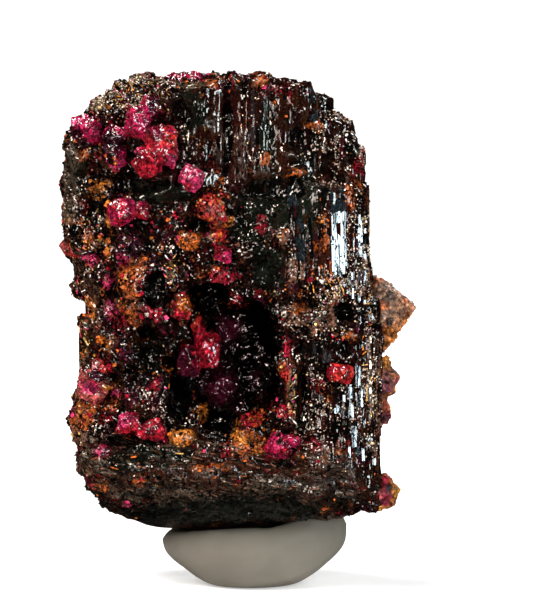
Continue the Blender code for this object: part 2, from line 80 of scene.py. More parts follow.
# Tinted places of the front, by colour: x, z, half width, half height.
SPOTS = {
    "grey": (
        (-2.8, 5.1, 3.6, 1.14), (1.9, 5.4, 3.12, 1.14), (-9.6, 25.2, 0.7, 1.2), (-2.8, 28.6, 1.4, 1.1),
        (1.6, 25.8, 0.55, 3.2), (1.9, 23.0, 1.6, 1.5), (4.0, 23.2, 0.7, 2.4), (1.9, 19.7, 0.9, 1.3),
        (-5.4, 8.5, 2.3, 0.8), (-4.6, 24.0, 1.6, 0.7), (0.6, 21.8, 0.9, 0.7),
    ),
    "tan": (
        (-9.8, 22.4, 0.4, 0.7), (-9.4, 17.5, 1.1, 1.6), (-9.2, 14.6, 1.0, 1.6), (-8.9, 12.9, 0.6, 0.8),
        (-9.3, 9.4, 0.8, 0.7), (4.3, 16.8, 1.9, 0.95), (2.6, 21.4, 0.6, 0.5), (3.5, 19.6, 0.6, 0.8),
        (-9.0, 7.6, 0.7, 0.5), (-9.3, 11.2, 0.9, 1.4), (7.95, 12.6, 0.45, 4.0), (7.3, 19.0, 0.4, 1.2),
        (3.2, 12.4, 0.16, 2.2),
    ),
    "drab": (
        (-9.7, 24.6, 0.6, 2.6), (-9.5, 19.4, 0.6, 1.4), (-4.0, 6.4, 4.5, 0.9), (2.5, 6.6, 3.0, 0.8),
        (-8.4, 8.4, 0.8, 0.7),
    ),
    "brown": (
        (-1.5, 27.7, 0.6, 0.6), (-1.0, 26.4, 0.54, 0.84), (4.2, 17.0, 1.0, 0.4), (3.1, 26.2, 0.6, 0.3),
        (1.5, 25.1, 0.72, 0.72), (5.6, 6.9, 1.8, 1.8), (-2.2, 7.4, 2.4, 0.6), (-9.1, 15.9, 0.72, 3.0),
        (0.2, 25.6, 0.48, 1.8),
    ),
    # Black spots: the darkest stone, laid where the front has crevices and pockets, which the skin is also
    # dug into. Their black is partly painted shade.
    "black": (
        (-8.3, 22.3, 0.48, 0.42), (-2.2, 22.0, 0.66, 0.42), (-5.9, 24.4, 1.92, 0.48),
        (-3.4, 28.4, 0.6, 0.84), (3.5, 24.3, 0.48, 0.48), (1.8, 24.0, 1.8, 0.54), (3.8, 27.1, 0.66, 0.84),
        (-9.5, 21.6, 0.42, 0.36), (-4.8, 19.0, 0.48, 0.54), (-4.5, 17.8, 0.66, 0.54),
        (-5.4, 15.8, 0.36, 0.36), (-5.1, 14.0, 1.2, 0.78), (-3.3, 11.9, 0.72, 1.56),
        (1.2, 15.0, 1.32, 2.28), (4.1, 17.5, 0.72, 0.36), (3.5, 15.1, 0.24, 0.36), (3.9, 16.0, 0.24, 0.24),
        (6.4, 15.0, 0.3, 0.42), (6.2, 17.1, 0.48, 0.6), (3.7, 12.0, 0.3, 1.68), (-1.2, 10.2, 1.08, 0.96),
        (-7.0, 9.2, 0.96, 0.3), (1.9, 12.6, 0.48, 0.84), (-8.3, 23.3, 0.36, 1.8), (-0.6, 27.6, 0.18, 2.6),
        (-4.8, 18.3, 0.6, 0.5), (-1.6, 18.0, 1.5, 0.45), (3.85, 11.6, 0.22, 1.8),
    ),
    "rust": (
        (-6.8, 19.2, 0.45, 0.6), (-5.9, 19.7, 0.7, 0.7), (-8.6, 21.2, 0.6, 0.6), (-8.9, 10.7, 0.72, 0.72),
        (-6.4, 18.2, 0.6, 0.5), (-6.9, 17.2, 0.5, 0.5), (0.7, 9.5, 1.0, 1.0), (-1.5, 30.3, 0.36, 0.3),
        (-9.0, 26.2, 0.36, 0.36), (-1.4, 22.7, 0.96, 0.72), (-2.8, 21.2, 0.42, 0.48),
        (1.3, 30.5, 0.48, 0.36), (4.6, 27.8, 0.42, 0.3), (3.7, 25.1, 0.48, 0.24), (1.7, 25.9, 0.42, 0.36),
        (5.2, 21.8, 0.18, 1.32), (6.5, 23.6, 0.24, 0.72), (-1.1, 19.3, 0.48, 0.48),
        (-5.9, 16.9, 0.48, 0.78), (2.8, 13.7, 0.3, 0.54), (3.6, 17.2, 0.6, 0.3), (6.6, 15.6, 0.42, 0.3),
        (-7.4, 11.1, 0.36, 0.24), (-5.7, 7.1, 0.36, 0.3), (-8.0, 6.6, 0.42, 0.36), (5.3, 5.4, 0.36, 0.3),
        (-1.6, 7.9, 0.9, 0.12), (-6.0, 7.0, 0.5, 0.14),
    ),
    "ochre": (
        (-8.3, 24.2, 0.62, 0.55), (-7.5, 22.2, 0.24, 0.54), (-0.4, 22.3, 0.36, 0.36),
        (4.8, 22.5, 0.16, 0.16), (-7.5, 20.6, 0.18, 0.54), (-8.8, 17.0, 0.24, 0.6),
        (-7.8, 15.1, 0.48, 0.54), (-7.5, 12.5, 0.48, 0.42), (-2.0, 10.9, 0.42, 0.3),
        (-3.3, 9.6, 0.72, 0.48), (0.3, 9.9, 0.5, 0.7), (1.3, 8.9, 0.4, 0.3),
    ),
    # The gold streak at x 7.8 is a painted highlight along the right edge; the thin one at x 3.1 is a pale
    # vein.
    "gold": (
        (7.8, 13.2, 0.12, 3.2), (-8.2, 28.9, 0.78, 0.84), (-7.3, 29.9, 0.6, 0.54), (-5.5, 30.5, 0.72, 0.42),
        (-3.1, 30.2, 1.44, 0.18), (7.1, 26.2, 0.3, 0.42), (-3.9, 19.3, 0.32, 0.8), (3.1, 12.1, 0.05, 1.68),
    ),
    "purple": (
        (-6.3, 20.9, 0.9, 0.84), (-7.8, 19.1, 0.48, 0.6), (-6.1, 12.0, 0.66, 0.48), (-5.2, 12.3, 0.9, 0.8),
        (-6.5, 14.3, 0.48, 0.48), (-0.7, 15.8, 0.72, 0.72), (-1.1, 12.2, 1.02, 0.84),
        (-10.0, 11.0, 0.3, 0.36), (1.3, 17.6, 0.54, 0.48), (3.5, 9.6, 0.48, 0.42),
    ),
    "flame": (
        (-1.4, 23.0, 0.95, 1.0), (-1.2, 21.6, 0.5, 0.5), (2.9, 13.6, 0.25, 0.6), (1.0, 10.6, 0.5, 0.4),
        (-8.6, 12.9, 0.35, 0.5),
    ),
    "crimson": (
        (3.1, 29.5, 0.16, 0.42), (1.5, 22.0, 0.42, 0.54), (7.1, 25.4, 0.3, 0.84), (-0.9, 19.0, 0.6, 0.6),
        (-0.1, 17.8, 0.42, 0.48), (-5.1, 17.0, 0.72, 0.48), (-6.9, 16.3, 0.42, 0.54),
        (-7.8, 13.7, 0.48, 0.66), (-4.9, 12.4, 0.24, 0.48), (2.9, 15.0, 0.36, 0.6), (4.6, 12.9, 0.48, 0.42),
        (-7.8, 10.6, 0.48, 0.3), (0.6, 10.3, 0.3, 0.3), (2.7, 11.1, 0.42, 0.54), (4.4, 9.4, 0.48, 0.36),
    ),
    "pink": (
        (-8.7, 19.9, 0.42, 0.36), (-6.7, 20.0, 0.36, 0.36), (-7.6, 18.6, 0.3, 0.3),
        (-7.5, 17.1, 0.36, 0.48), (-8.7, 12.4, 0.72, 0.6), (-7.3, 12.1, 0.3, 0.3), (-6.4, 10.6, 0.54, 0.3),
        (-7.9, 8.8, 0.4, 0.4), (-6.5, 5.4, 0.3, 0.24),
    ),
}

EARTHY = ("rust", "ochre", "gold", "tan", "drab", "brown")
GEMMY = ("flame", "crimson", "pink", "purple")
BARE = ("black", "grey")

# How often a crystal of the druse takes each colour: where no spot says otherwise, and in each spot.
DRUSE_MIX = {
    "rough": {
        "black": 52, "brown": 16, "maroon": 18, "purple": 6, "crimson": 4, "rust": 5, "ochre": 0.8,
        "pink": 0.5,
    },
    "grown": {"black": 60, "brown": 20, "maroon": 16, "purple": 4, "crimson": 2, "rust": 3, "gold": 0.5},
    # In the black spots the crystals are mostly black: partly painted shade, as in the spots.
    "black": {"black": 8, "maroon": 1, "purple": 1},
    "grey": {"grey": 3, "black": 2, "brown": 0.3},
    "brown": {"brown": 5, "black": 3, "maroon": 3, "rust": 1},
    "drab": {"drab": 6, "black": 4, "brown": 2, "tan": 1, "maroon": 1},
    "tan": {"tan": 7, "brown": 3, "rust": 1.5, "maroon": 1, "black": 2, "gold": 0.4},
    "rust": {"rust": 6, "brown": 3, "black": 1.5, "crimson": 1.5, "gold": 0.5},
    "ochre": {"ochre": 4, "rust": 5, "brown": 2, "black": 1.5, "gold": 0.5},
    "gold": {
        "gold": 0.6, "ochre": 0.7, "brown": 2, "black": 6, "rust": 1, "maroon": 3, "crimson": 1,
        "purple": 1,
    },
    "flame": {"flame": 3, "rust": 5, "tan": 2, "crimson": 1, "maroon": 1, "gold": 0.8, "ochre": 0.8},
    "crimson": {"crimson": 6, "purple": 2, "maroon": 2, "pink": 1, "black": 1.5},
    "pink": {"pink": 3, "crimson": 3, "purple": 2, "black": 1},
    "purple": {"purple": 5, "maroon": 2, "black": 2, "crimson": 1, "pink": 0.4},
}

# The same for long crystals, by how they lie.
LONG_MIX = {
    "upright": {"black": 54, "maroon": 24, "brown": 14, "purple": 5, "rust": 1, "gold": 0.6},
    "lying": {
        "black": 32, "grey": 8, "maroon": 6, "brown": 18, "drab": 26, "tan": 9, "rust": 2, "gold": 0.4,
    },
    "under": {"black": 5, "grey": 5, "brown": 0.5},
    # Wires take pale colours that are partly painted highlights: glinting lines along the edges.
    "wire": {"glitter": 1.2, "gold": 3, "pink": 1.6, "ochre": 1.4, "black": 1},
    "flank": {
        "black": 18, "brown": 12, "drab": 20, "tan": 26, "maroon": 8, "rust": 10, "salmon": 8, "gold": 3,
    },
}

# Long crystals by how they lie: half width and its spread, length beside width as a power of e and its
# spread, greatest length beside width, how much they wobble and how far they stand out of the skin.
LONG_LOTS = {
    "upright": (0.055, 0.40, 1.7, 0.45, math.inf, 0.04, 0),
    "lying": (0.038, 0.35, 1.8, 0.40, math.inf, 0.16, 0),
    "flank": (0.045, 0.35, 1.6, 0.40, 8, 0.20, 0),
    "wire": (0.022, 0.30, 1.8, 0.40, 9, 0.15, 0.05),
}
FLANK_WAY = (0.5, -0.3, -0.85)

# Below this height, lying crystals take the colours of the underside.
UNDER_TOP = 6.2

# Half widths of the glitter on the skin and on the rubies, and of the grains that bed the rubies. Then how
# many places are tried on a square millimetre of ruby, and how often one above the bed glitters.
SKIN_SPARK = 0.031
GEM_SPARK = 0.030
BED_GRAIN = 0.09
BED_TRIES = 22
GEM_SPARK_CHANCE = 0.05

# Where the front glitters most, with pale specks that are partly painted glints: x, z, half width, half
# height, how thickly.
GLITTER_ZONES = (
    (5.6, 26.4, 1.9, 1.9, 4.5), (5.5, 18.6, 1.6, 0.9, 7.0), (5.6, 10.8, 2.3, 3.4, 2.9),
    (4.3, 16.6, 1.9, 1.0, 5.0), (-9.7, 24.0, 0.6, 2.8, 1.2), (-6.6, 29.8, 2.8, 1.3, 5.6),
    (1.2, 28.8, 0.8, 1.6, 1.6), (-3.6, 10.6, 2.0, 1.0, 1.0), (-1.6, 27.2, 2.0, 1.4, 0.8),
    (2.4, 20.6, 1.8, 1.6, 1.6), (-6.6, 20.0, 1.2, 1.2, 0.9), (-2.6, 20.2, 1.0, 1.0, 1.0),
    (7.0, 20.5, 0.8, 2.9, 6.0), (2.1, 18.6, 0.3, 0.8, 4.0), (5.3, 18.5, 1.1, 0.8, 9.0),
    (7.85, 12.2, 0.5, 4.6, 5.5),
)

# Tones of the glitter, as shares of its colour.
GLITTER_TONES = ((1, 0.96, 0.9), (1, 0.88, 0.7), (1, 0.68, 0.62), (1, 0.72, 0.4))

# Where the hollow's crust sparkles: x, z, half width, half height.
CRUST_SPARKS = (
    (-1.8, 15.9, 0.4, 0.3), (-0.6, 15.6, 0.6, 0.7), (-1.2, 12.1, 0.9, 0.7), (2.0, 12.4, 0.5, 0.6),
    (1.4, 15.0, 0.2, 0.4), (0.2, 17.2, 0.5, 0.3), (-2.6, 11.0, 0.5, 0.4),
)

# Where thin pale crystals lie crosswise, in the same way. Their pale colours partly stand in for glinting
# lines, as painted highlights.
WIRE_ZONES = (
    (-6.6, 29.8, 2.8, 1.2), (-3.9, 19.3, 0.5, 1.0), (5.4, 18.4, 1.1, 0.9), (-9.4, 16.0, 0.6, 3.4),
    (-8.6, 21.4, 0.8, 1.2), (3.2, 12.4, 0.25, 2.6), (7.7, 14.0, 0.4, 3.5),
)

# Lumps that fill out the painite's outline: middle and half sizes.
SKIN_LUMPS = (
    (6.65, -4.9, 25.1, 0.8, 1.4, 1.2), (6.5, -5.6, 26.6, 0.7, 1.0, 1.0), (4.3, -7.6, 16.6, 1.5, 0.6, 0.75),
    (-9.2, -4.0, 22.6, 0.8, 1.2, 1.3),
)

# Tinted places on the rubies: colour, x, z, half width, half height.
GEM_SPOTS = (
    ("magenta", -5.8, 28.2, 0.9, 0.9), ("purple", -4.6, 29.3, 0.7, 0.6), ("flame", -4.0, 27.0, 0.6, 0.6),
    ("crimson", -5.2, 25.3, 0.9, 0.7), ("crimson", -4.4, 26.2, 1.0, 0.7), ("pink", -3.9, 25.9, 0.3, 0.4),
    ("pink", -2.7, 25.2, 0.6, 0.7), ("pink", -9.3, 28.3, 0.5, 0.5), ("purple", -7.4, 26.9, 0.9, 0.7),
    ("pink", -7.3, 25.5, 0.7, 0.4), ("crimson", -7.1, 23.3, 0.5, 0.4), ("pink", -6.9, 10.6, 0.4, 0.4),
    ("pink", 2.4, 9.4, 0.3, 0.3), ("crimson", -5.5, 22.6, 0.6, 0.6), ("purple", -3.1, 13.9, 0.8, 1.2),
    ("crimson", -1.8, 14.8, 0.9, 1.1), ("flame", -2.6, 16.5, 0.5, 0.6), ("pink", -6.7, 10.7, 0.6, 0.4),
    ("brown", -9.0, 14.0, 0.5, 0.5), ("purple", -8.3, 13.2, 0.4, 0.4), ("maroon", -7.5, 13.1, 0.5, 0.4),
    ("flame", -7.7, 13.9, 0.5, 0.5), ("ochre", -7.6, 12.5, 0.4, 0.3), ("pink", -8.7, 12.4, 0.5, 0.4),
    ("rust", -3.0, 17.5, 0.5, 0.5), ("flame", 6.3, 13.5, 0.6, 0.4),
)

# Tinted places on the matrix, in the same way.
ROCK_SPOTS = (
    ((0.55, 0.32, 0.22), 8.9, 17.6, 0.9, 0.5), ((0.6, 0.16, 0.02), 8.3, 14.6, 0.9, 0.6),
    ((0.5, 0.22, 0.1), 9.6, 16.4, 0.5, 0.5), ((0.05, 0.02, 0.01), 8.1, 16.2, 0.3, 0.5),
    ((0.62, 0.13, 0.02), 8.6, 16.7, 0.35, 0.25), ((0.03, 0.012, 0.008), 8.0, 14.0, 0.4, 0.5),
    ((0.62, 0.03, 0.04), 8.1, 13.6, 0.4, 0.4), ((0.7, 0.24, 0.02), 9.0, 13.3, 0.7, 0.5),
    ((0.2, 0.05, 0.07), 8.7, 12.0, 0.8, 0.8), ((0.66, 0.14, 0.02), 8.2, 9.9, 0.3, 0.6),
    ((0.72, 0.42, 0.05), 8.3, 7.4, 0.5, 0.4), ((0.5, 0.02, 0.05), 8.6, 6.2, 0.5, 0.5),
    ((0.72, 0.3, 0.04), 9.4, 6.4, 0.3, 0.9),
)

# Each chunk's main, warm and cool colour, and how far its surface is drawn in.
MATRIX_LOOKS = {
    "matrix_upper": ((0.42, 0.125, 0.045), (0.62, 0.19, 0.030), (0.42, 0.24, 0.16), 0.0),
    "matrix_middle": ((0.40, 0.065, 0.040), (0.66, 0.22, 0.030), (0.22, 0.045, 0.065), 0.18),
    "matrix_foot": ((0.50, 0.060, 0.025), (0.75, 0.30, 0.05), (0.42, 0.02, 0.05), 0.0),
}

# Each ruby's main and second colour, and how lumpy it is.
RUBY_LOOKS = {
    "ruby_shoulder_outer": ("magenta", "purple", 0.7),
    "ruby_shoulder_drop": ("magenta", "purple", 0.9),
    "ruby_shoulder_cluster": ("crimson", "magenta", 1.1),
    "ruby_shoulder_tip": ("pink", "crimson", 0.8),
    "ruby_waist": ("magenta", "crimson", 0.8),
    "ruby_left_edge": ("flame", "salmon", 0.2),
    "ruby_round": ("magenta", "crimson", 0.6),
    "ruby_knob": ("crimson", "rust", 0.8),
    "ruby_cavity": ("crimson", "purple", 0.12),
    "ruby_column": ("flame", "crimson", 0.5),
    "ruby_ledge_left": ("crimson", "purple", 1.0),
    "ruby_ledge_right": ("crimson", "magenta", 1.1),
    "ruby_flank": ("salmon", "crimson", 1.2),
    "ruby_crown": ("purple", "magenta", 1.0),
}

# Width and depth of the rubies beside their solids, and the rubies that have another width.
GEM_WIDTH = 0.97
GEM_DEPTH = 1.05
GEM_WIDTHS = {"ruby_shoulder_tip": 0.82, "ruby_waist": 0.90, "ruby_ledge_right": 0.90, "ruby_knob": 0.92}

# Rubies turned a little, in degrees, to keep a face from mirroring a lamp.
GEM_TURNS = {"ruby_cavity": -6, "ruby_waist": 14}

# How high the grains of stone that bed a ruby reach over the skin, and the rubies with a low bed.
BED_HEIGHT = 0.26
LOW_BED_HEIGHT = 0.06
LOW_BEDS = ("ruby_cavity", "ruby_left_edge", "ruby_column", "ruby_shoulder_drop")

# Bundles of polished bars on the prism faces: x, width, foot, top, turn from the front in degrees, bar
# length and tint.
PRISM_BARS = (
    (5.9, 0.94, 19.2, 23.1, 28, 3.2, 0), (5.88, 0.9, 22.9, 24.4, 16, 0.5, 1),
    (7.1, 0.36, 20.2, 22.4, 28, 1.0, 0), (6.7, 0.14, 17.8, 19.6, 28, 0.6, 0),
    (7.1, 0.14, 17.6, 20.0, 28, 0.5, 0), (7.44, 0.14, 17.4, 22.0, 28, 0.5, 0),
    (3.25, 0.6, 23.2, 24.5, 6, 0.5, 1), (3.7, 0.5, 20.0, 22.6, 8, 0.5, 1),
    (4.5, 0.4, 28.0, 29.8, 4, 0.5, 1), (0.9, 0.16, 26.6, 30.2, 4, 1.0, 0),
    (4.5, 0.14, 14.5, 15.2, 17, 0.7, 0), (5.22, 0.5, 14.1, 15.2, 17, 0.8, 0),
    (5.72, 0.44, 11.1, 12.4, 27, 0.3, 0), (6.2, 0.12, 10.7, 12.4, 27, 1.2, 0),
    (6.6, 0.34, 10.8, 12.8, 28, 0.9, 0), (7.02, 0.28, 12.2, 14.1, 28, 2.2, 0),
    (7.2, 0.26, 11.2, 12.4, 28, 1.2, 0), (7.42, 0.14, 10.2, 11.5, 28, 0.8, 0),
    (6.8, 0.28, 8.9, 10.3, 28, 1.2, 0), (6.98, 0.26, 8.3, 9.2, 24, 0.9, 1),
    (6.52, 0.12, 8.4, 9.1, 28, 0.6, 0), (7.34, 0.14, 8.2, 9.3, 28, 0.7, 0),
    (8.0, 0.2, 7.9, 8.5, 28, 0.3, 0), (7.76, 0.1, 12.2, 16.2, 28, 0.35, 2),
    (3.4, 0.1, 9.8, 14.8, 10, 0.3, 2),
)

# Dark, blue-grey and pale edge, in the order of a bundle's tint number. The blue-grey is painted reflection,
# the sheen of faces turned a little from the lamps; the pale edge is a pale vein at x 3.4 and a painted
# highlight on the right edge at x 7.76.
BAR_TINTS = ((0.012, 0.009, 0.010), (0.0065, 0.0105, 0.0135), (0.42, 0.24, 0.11))

# How far apart the bars of a bundle stand, and half their depth.
BAR_SPACING = 0.13
BAR_HALF_DEPTH = 0.12

# The crystal's upright axis and its mean radius, for measuring round it.
AXIS_X = -1.0
AXIS_Y = 0.2
GIRTH = 8.0

# Soft edges of the grown faces and of the breaks in them: where the change starts and where it ends.
BARRELS_LEFT = (2.3, 3.2)
BARRELS_FOOT = (8.6, 9.8)
BREAK_FOOT = (14.2, 15.0)
BREAK_TOP = (19.4, 18.4)
BREAK_RIGHT = 6.9
CROWN_LEFT = (-0.9, -0.3)
CROWN_FOOT = (23.4, 24.4)
BLOCK_LEFT = (-4.9, -4.3)
BLOCK_RIGHT = (-0.4, -0.9)
BLOCK_FOOT = (23.2, 24.2)
SIDE_LEFT = (6.4, 7.2)
SIDE_FOOT = (6.6, 7.6)
BACK_FRONT = (0.2, 1.6)
BACK_FOOT = (5.0, 6.5)
BROKEN_TOP = (29.2, 29.9)

# In the same way, where relief rises out of the putty, and the weathered ledge above it.
PUTTY_LINE = (3.7, 4.6)
LEDGE_FOOT = (5.8, 6.6)
LEDGE_TOP = (10.0, 9.0)

# Below this height, grey stone is dusty.
DUSTY_TOP = 8.0

# The waist on the left, pushed inwards: its edges in x and z, and how far it goes in.
WAIST_RIGHT = (-7.8, -9.0)
WAIST_FOOT = (14.9, 15.9)
WAIST_TOP = (20.4, 18.8)
WAIST_SHIFT = 0.45

# The hollow in the front: x, z, half width, half height, and the y behind which it is deep.
HOLLOW = (-0.4, 14.6, 3.4, 3.8)
HOLLOW_RIM = -6.0

# Soft edge of a spot: the reach where its cover starts and the reach where it is whole.
SPOT_RIM = (1.3, 0.7)

# Half the size of the block that a small crystal is cut from, and how many shapes a heap mixes.
HALF_BLOCK = 0.85
HEAP_SHAPES = 14

# Where rays from the front start in y, and the y that stands for a ray that misses the skin.
RAY_START = -20
MISSED = 20.0

# Where along a bar the skin behind it is looked up.
BAR_PROBES = (0.1, 0.3, 0.5, 0.7, 0.9)

# The sweep's round floor, the curve round it and the wall above the curve, in metres.
FLOOR_RADIUS = 0.30
CURVE_RADIUS = 0.25
CURVE_STEPS = 12
WALL_HEIGHT = 0.35

# Softboxes, aimed at one point: place and size in metres, and colour.
LAMPS = {
    "key": ((-0.16, -0.20, 0.22), (0.08, 0.08), (1.0, 0.94, 0.87)),
    "top": ((-0.07, 0.05, 0.34), (0.10, 0.10), (1.0, 0.95, 0.89)),
    "strip": ((0.26, -0.15, 0.045), (0.04, 0.10), (0.72, 0.90, 1.0)),
    "fill": ((0.08, -0.30, 0.16), (0.055, 0.055), (1, 1, 1)),
    "low": ((-0.05, -0.30, 0.01), (0.06, 0.03), (1, 1, 1)),
    "rear": ((0.12, 0.28, 0.16), (0.08, 0.08), (1, 1, 1)),
}
LAMP_AIM = (0, 0, 0.017)
STUDIO_DARK = (0.012, 0.012, 0.012, 1)

# The camera's aim, how far it looks down in degrees, and its lens.
CAMERA_AIM = (1.74, 0, 17.1)
CAMERA_LIFT = 5
LENS = 300


# Settings


def colour_setting(name, about, value):
    """A colour, in linear light."""
    return FloatVectorProperty(name=name, description=about, default=value, subtype="COLOR", min=0, max=1)


def length_setting(name, about, value):
    """A length, given in millimetres."""
    return FloatProperty(name=name, description=about, default=value * MM, min=0, unit="LENGTH")


def count_setting(name, about, value):
    """A number of crystals."""
    return IntProperty(name=name, description=about, default=value, min=0)


def power_setting(name, about, value):
    """A lamp's power."""
    return FloatProperty(name=name, description=about, default=value, min=0, unit="POWER")


class SpecimenColours(bpy.types.PropertyGroup):
    """Colours of the minerals, in linear light."""

    black: colour_setting("Black stone", "Darkest painite", (0.0008, 0.0009, 0.0007))
    grey: colour_setting("Grey stone", "Broken dark underside", (0.0036, 0.005, 0.0031))
    maroon: colour_setting("Maroon stone", "Painite where light gets in", (0.0144, 0.002304, 0.001728))
    brown: colour_setting("Brown stone", "Weathered painite", (0.0272, 0.00748, 0.002856))
    drab: colour_setting("Drab stone", "Greyish weathered painite", (0.048, 0.030, 0.019))
    tan: colour_setting("Dusty stone", "Dusty flank and fibres", (0.14, 0.056, 0.033))
    rust: colour_setting("Rust", "Orange iron stain", (0.33, 0.066, 0.00825))
    ochre: colour_setting("Ochre", "Yellow iron stain", (0.483, 0.1437, 0.0161))
    gold: colour_setting("Pale grit", "Pale glittering edge", (0.5, 0.28, 0.085))
    crimson: colour_setting("Crimson", "Ruby, red side", (0.2467, 0.005803, 0.01451))
    magenta: colour_setting("Magenta", "Ruby, pink side", (0.2756, 0.006528, 0.04353))
    pink: colour_setting("Pink", "Lightest ruby", (0.5011, 0.02829, 0.1051))
    purple: colour_setting("Purple", "Darkest ruby", (0.03191, 0.002439, 0.008344))
    flame: colour_setting("Flame", "Orange-red ruby", (0.3942, 0.0205, 0.01577))
    salmon: colour_setting("Salmon", "Granular pink mass", (0.3427, 0.06427, 0.05569))
    # Glitter's pale colour is partly a painted highlight: the specks stand in for glints as well as for
    # clear crystals.
    glitter: colour_setting("Glitter", "Smallest clear crystals", (0.85, 0.80, 0.76))
    putty: colour_setting("Putty", "Display putty", (0.174, 0.154, 0.122))
    floor: colour_setting("Floor", "Sweep under the specimen", (0.80, 0.80, 0.80))


class SpecimenSizes(bpy.types.PropertyGroup):
    """Sizes and numbers of the surface detail."""

    skin_step: length_setting("Skin step", "Edge of the painite's surface cells", 0.18)
    ruby_step: length_setting("Ruby step", "Edge of the rubies' surface cells", 0.065)
    crust_step: length_setting("Crust step", "Edge of the crust's surface cells", 0.11)
    matrix_step: length_setting("Matrix step", "Edge of the matrix's surface cells", 0.10)
    putty_step: length_setting("Putty step", "Edge of the putty's surface cells", 0.22)
    striation: length_setting("Striation", "Depth of the grooves on grown faces", 0.14)
    breakage: length_setting("Breakage", "Depth of the broken relief", 0.36)
    pocket: length_setting("Pockets", "Depth of the black pockets", 0.75)
    grain: length_setting("Grain", "Half the width of a middling druse crystal", 0.090)
    druse_count: count_setting("Druse", "Short crystals over the whole", 13500)
    splinter_count: count_setting("Splinters", "Upright crystals on grown faces", 3600)
    glitter_count: count_setting("Glitter", "Smallest clear crystals", 4900)
    wire_count: count_setting("Wires", "Thin pale crystals on the edges", 1300)
    fibre_count: count_setting("Fibres", "Lying crystals round the foot", 2500)


class SpecimenLight(bpy.types.PropertyGroup):
    """Powers of the studio lights and the camera's distance."""

    key: power_setting("Key", "Soft light from the upper left", 0.90)
    top: power_setting("Top", "Overhead softbox", 1.1)
    strip: power_setting("Strip", "Narrow light for the prism faces", 0.40)
    fill: power_setting("Fill", "Weak light beside the camera", 0.30)
    low: power_setting("Low", "Weak light from below the front", 0.08)
    rear: power_setting("Rear", "Soft light on the back", 0.20)
    glow: FloatProperty(name="Sweep glow", description="Own light of the sweep", default=0.36, min=0)
    distance: FloatProperty(
        name="Camera distance", description="From the aim point", default=0.30, min=0.05, unit="LENGTH"
    )


def colours():
    """The scene's settings for colours."""
    return bpy.context.scene.specimen_colours


def sizes():
    """The scene's settings for sizes."""
    return bpy.context.scene.specimen_sizes


def light():
    """The scene's settings for light."""
    return bpy.context.scene.specimen_light


def tint(name):
    """A mineral's colour."""
    return np.array(getattr(colours(), name), float)


# Meshes


def node_copy(node):
    """A CAD node's solid as a new mesh with its doubles merged."""
    bm = bmesh.new()
    bm.from_mesh(NODES[node].data)
    bmesh.ops.remove_doubles(bm, verts=bm.verts[:], dist=1e-7)
    return bm


def make_piece(name, bm, material, smooth=True):
    """Turns a mesh in the making into an object in the scene."""
    mesh = bpy.data.meshes.new(name)
    bm.to_mesh(mesh)
    bm.free()
    piece = bpy.data.objects.new(name, mesh)
    bpy.context.scene.collection.objects.link(piece)
    mesh.materials.append(material)
    if smooth:
        mesh.shade_smooth()
    else:
        mesh.shade_flat()
    return piece


def remesh(piece, step):
    """Rebuilds a closed piece as even cells, with its modifier applied."""
    material = piece.data.materials[0]
    cells = piece.modifiers.new("cells", "REMESH")
    cells.mode = "VOXEL"
    cells.voxel_size = step
    cells.use_smooth_shade = True
    graph = bpy.context.evaluated_depsgraph_get()
    made = bpy.data.meshes.new_from_object(piece.evaluated_get(graph))
    piece.modifiers.clear()
    piece.data = made
    made.materials.clear()
    made.materials.append(material)


def read_points(mesh):
    """The mesh's points and their normals, the points in millimetres."""
    points = np.empty(len(mesh.vertices) * 3)
    mesh.vertices.foreach_get("co", points)
    normals = np.empty(len(mesh.vertices) * 3)
    mesh.vertex_normals.foreach_get("vector", normals)
    return points.reshape(-1, 3) / MM, normals.reshape(-1, 3)


def write_points(mesh, points):
    """Moves the mesh's points to new places in millimetres."""
    mesh.vertices.foreach_set("co", (points * MM).ravel())
    mesh.update()


def paint(mesh, name, values):
    """Stores one colour or one number for each point."""
    if values.ndim == 2:
        layer = mesh.attributes.new(name, "FLOAT_COLOR", "POINT")
        full = np.concatenate([values, np.ones((len(values), 1))], 1)
        layer.data.foreach_set("color", full.astype(np.float32).ravel())
    else:
        layer = mesh.attributes.new(name, "FLOAT", "POINT")
        layer.data.foreach_set("value", values.astype(np.float32))


def even_piece(name, bm, material, step):
    """A closed piece made of even cells, its points in millimetres and their normals."""
    piece = make_piece(name, bm, material)
    remesh(piece, step)
    return piece, *read_points(piece.data)


def hand_over(piece, slot, *nodes):
    """The piece rides with the specimen and stands for its nodes, which it hides. The slot is not used."""
    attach(piece, "root")
    if nodes:
        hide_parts(*nodes)


# Patterns


def smooth_step(low, high, value):
    """0 at the low end, 1 at the high end and a soft change between. Low may be the larger number."""
    share = np.clip((value - low) / (high - low), 0, 1)
    return share * share * (3 - 2 * share)


def blend(first, second, share):
    """Colours that go from the first to the second by each point's share."""
    return first + (second - first) * share[:, None]


def wander(points, size, seed=0.0):
    """Smooth noise between -1 and 1, with waves of about that size."""
    return np.array([noise.noise(p) for p in points / size + seed])


def ripple(points, size, octaves, seed=0.0):
    """Smooth noise with ever finer waves on it, each half as wide and half as strong as the last."""
    total = np.zeros(len(points))
    for octave in range(octaves):
        total += wander(points, size / 2**octave, seed + 11.3 * octave) / 2**octave
    return total


def cell_numbers(spot):
    """The middle of the cell round a spot, and three numbers between 0 and 1 that are the cell's own."""
    middle = noise.voronoi(spot)[1][0]
    return middle, noise.cell_vector(middle * 9.1)


def facets(points, size, seed=0.0):
    """Relief of tilted flats, as on a broken crystal: one flat for each cell of that size."""
    relief = np.empty(len(points))
    for index, spot in enumerate(points / size + seed):
        middle, numbers = cell_numbers(spot)
        lean = numbers - HALF
        relief[index] = (Vector(spot) - middle).dot(lean) * 1.6 + lean.x * 0.5
    return relief * size


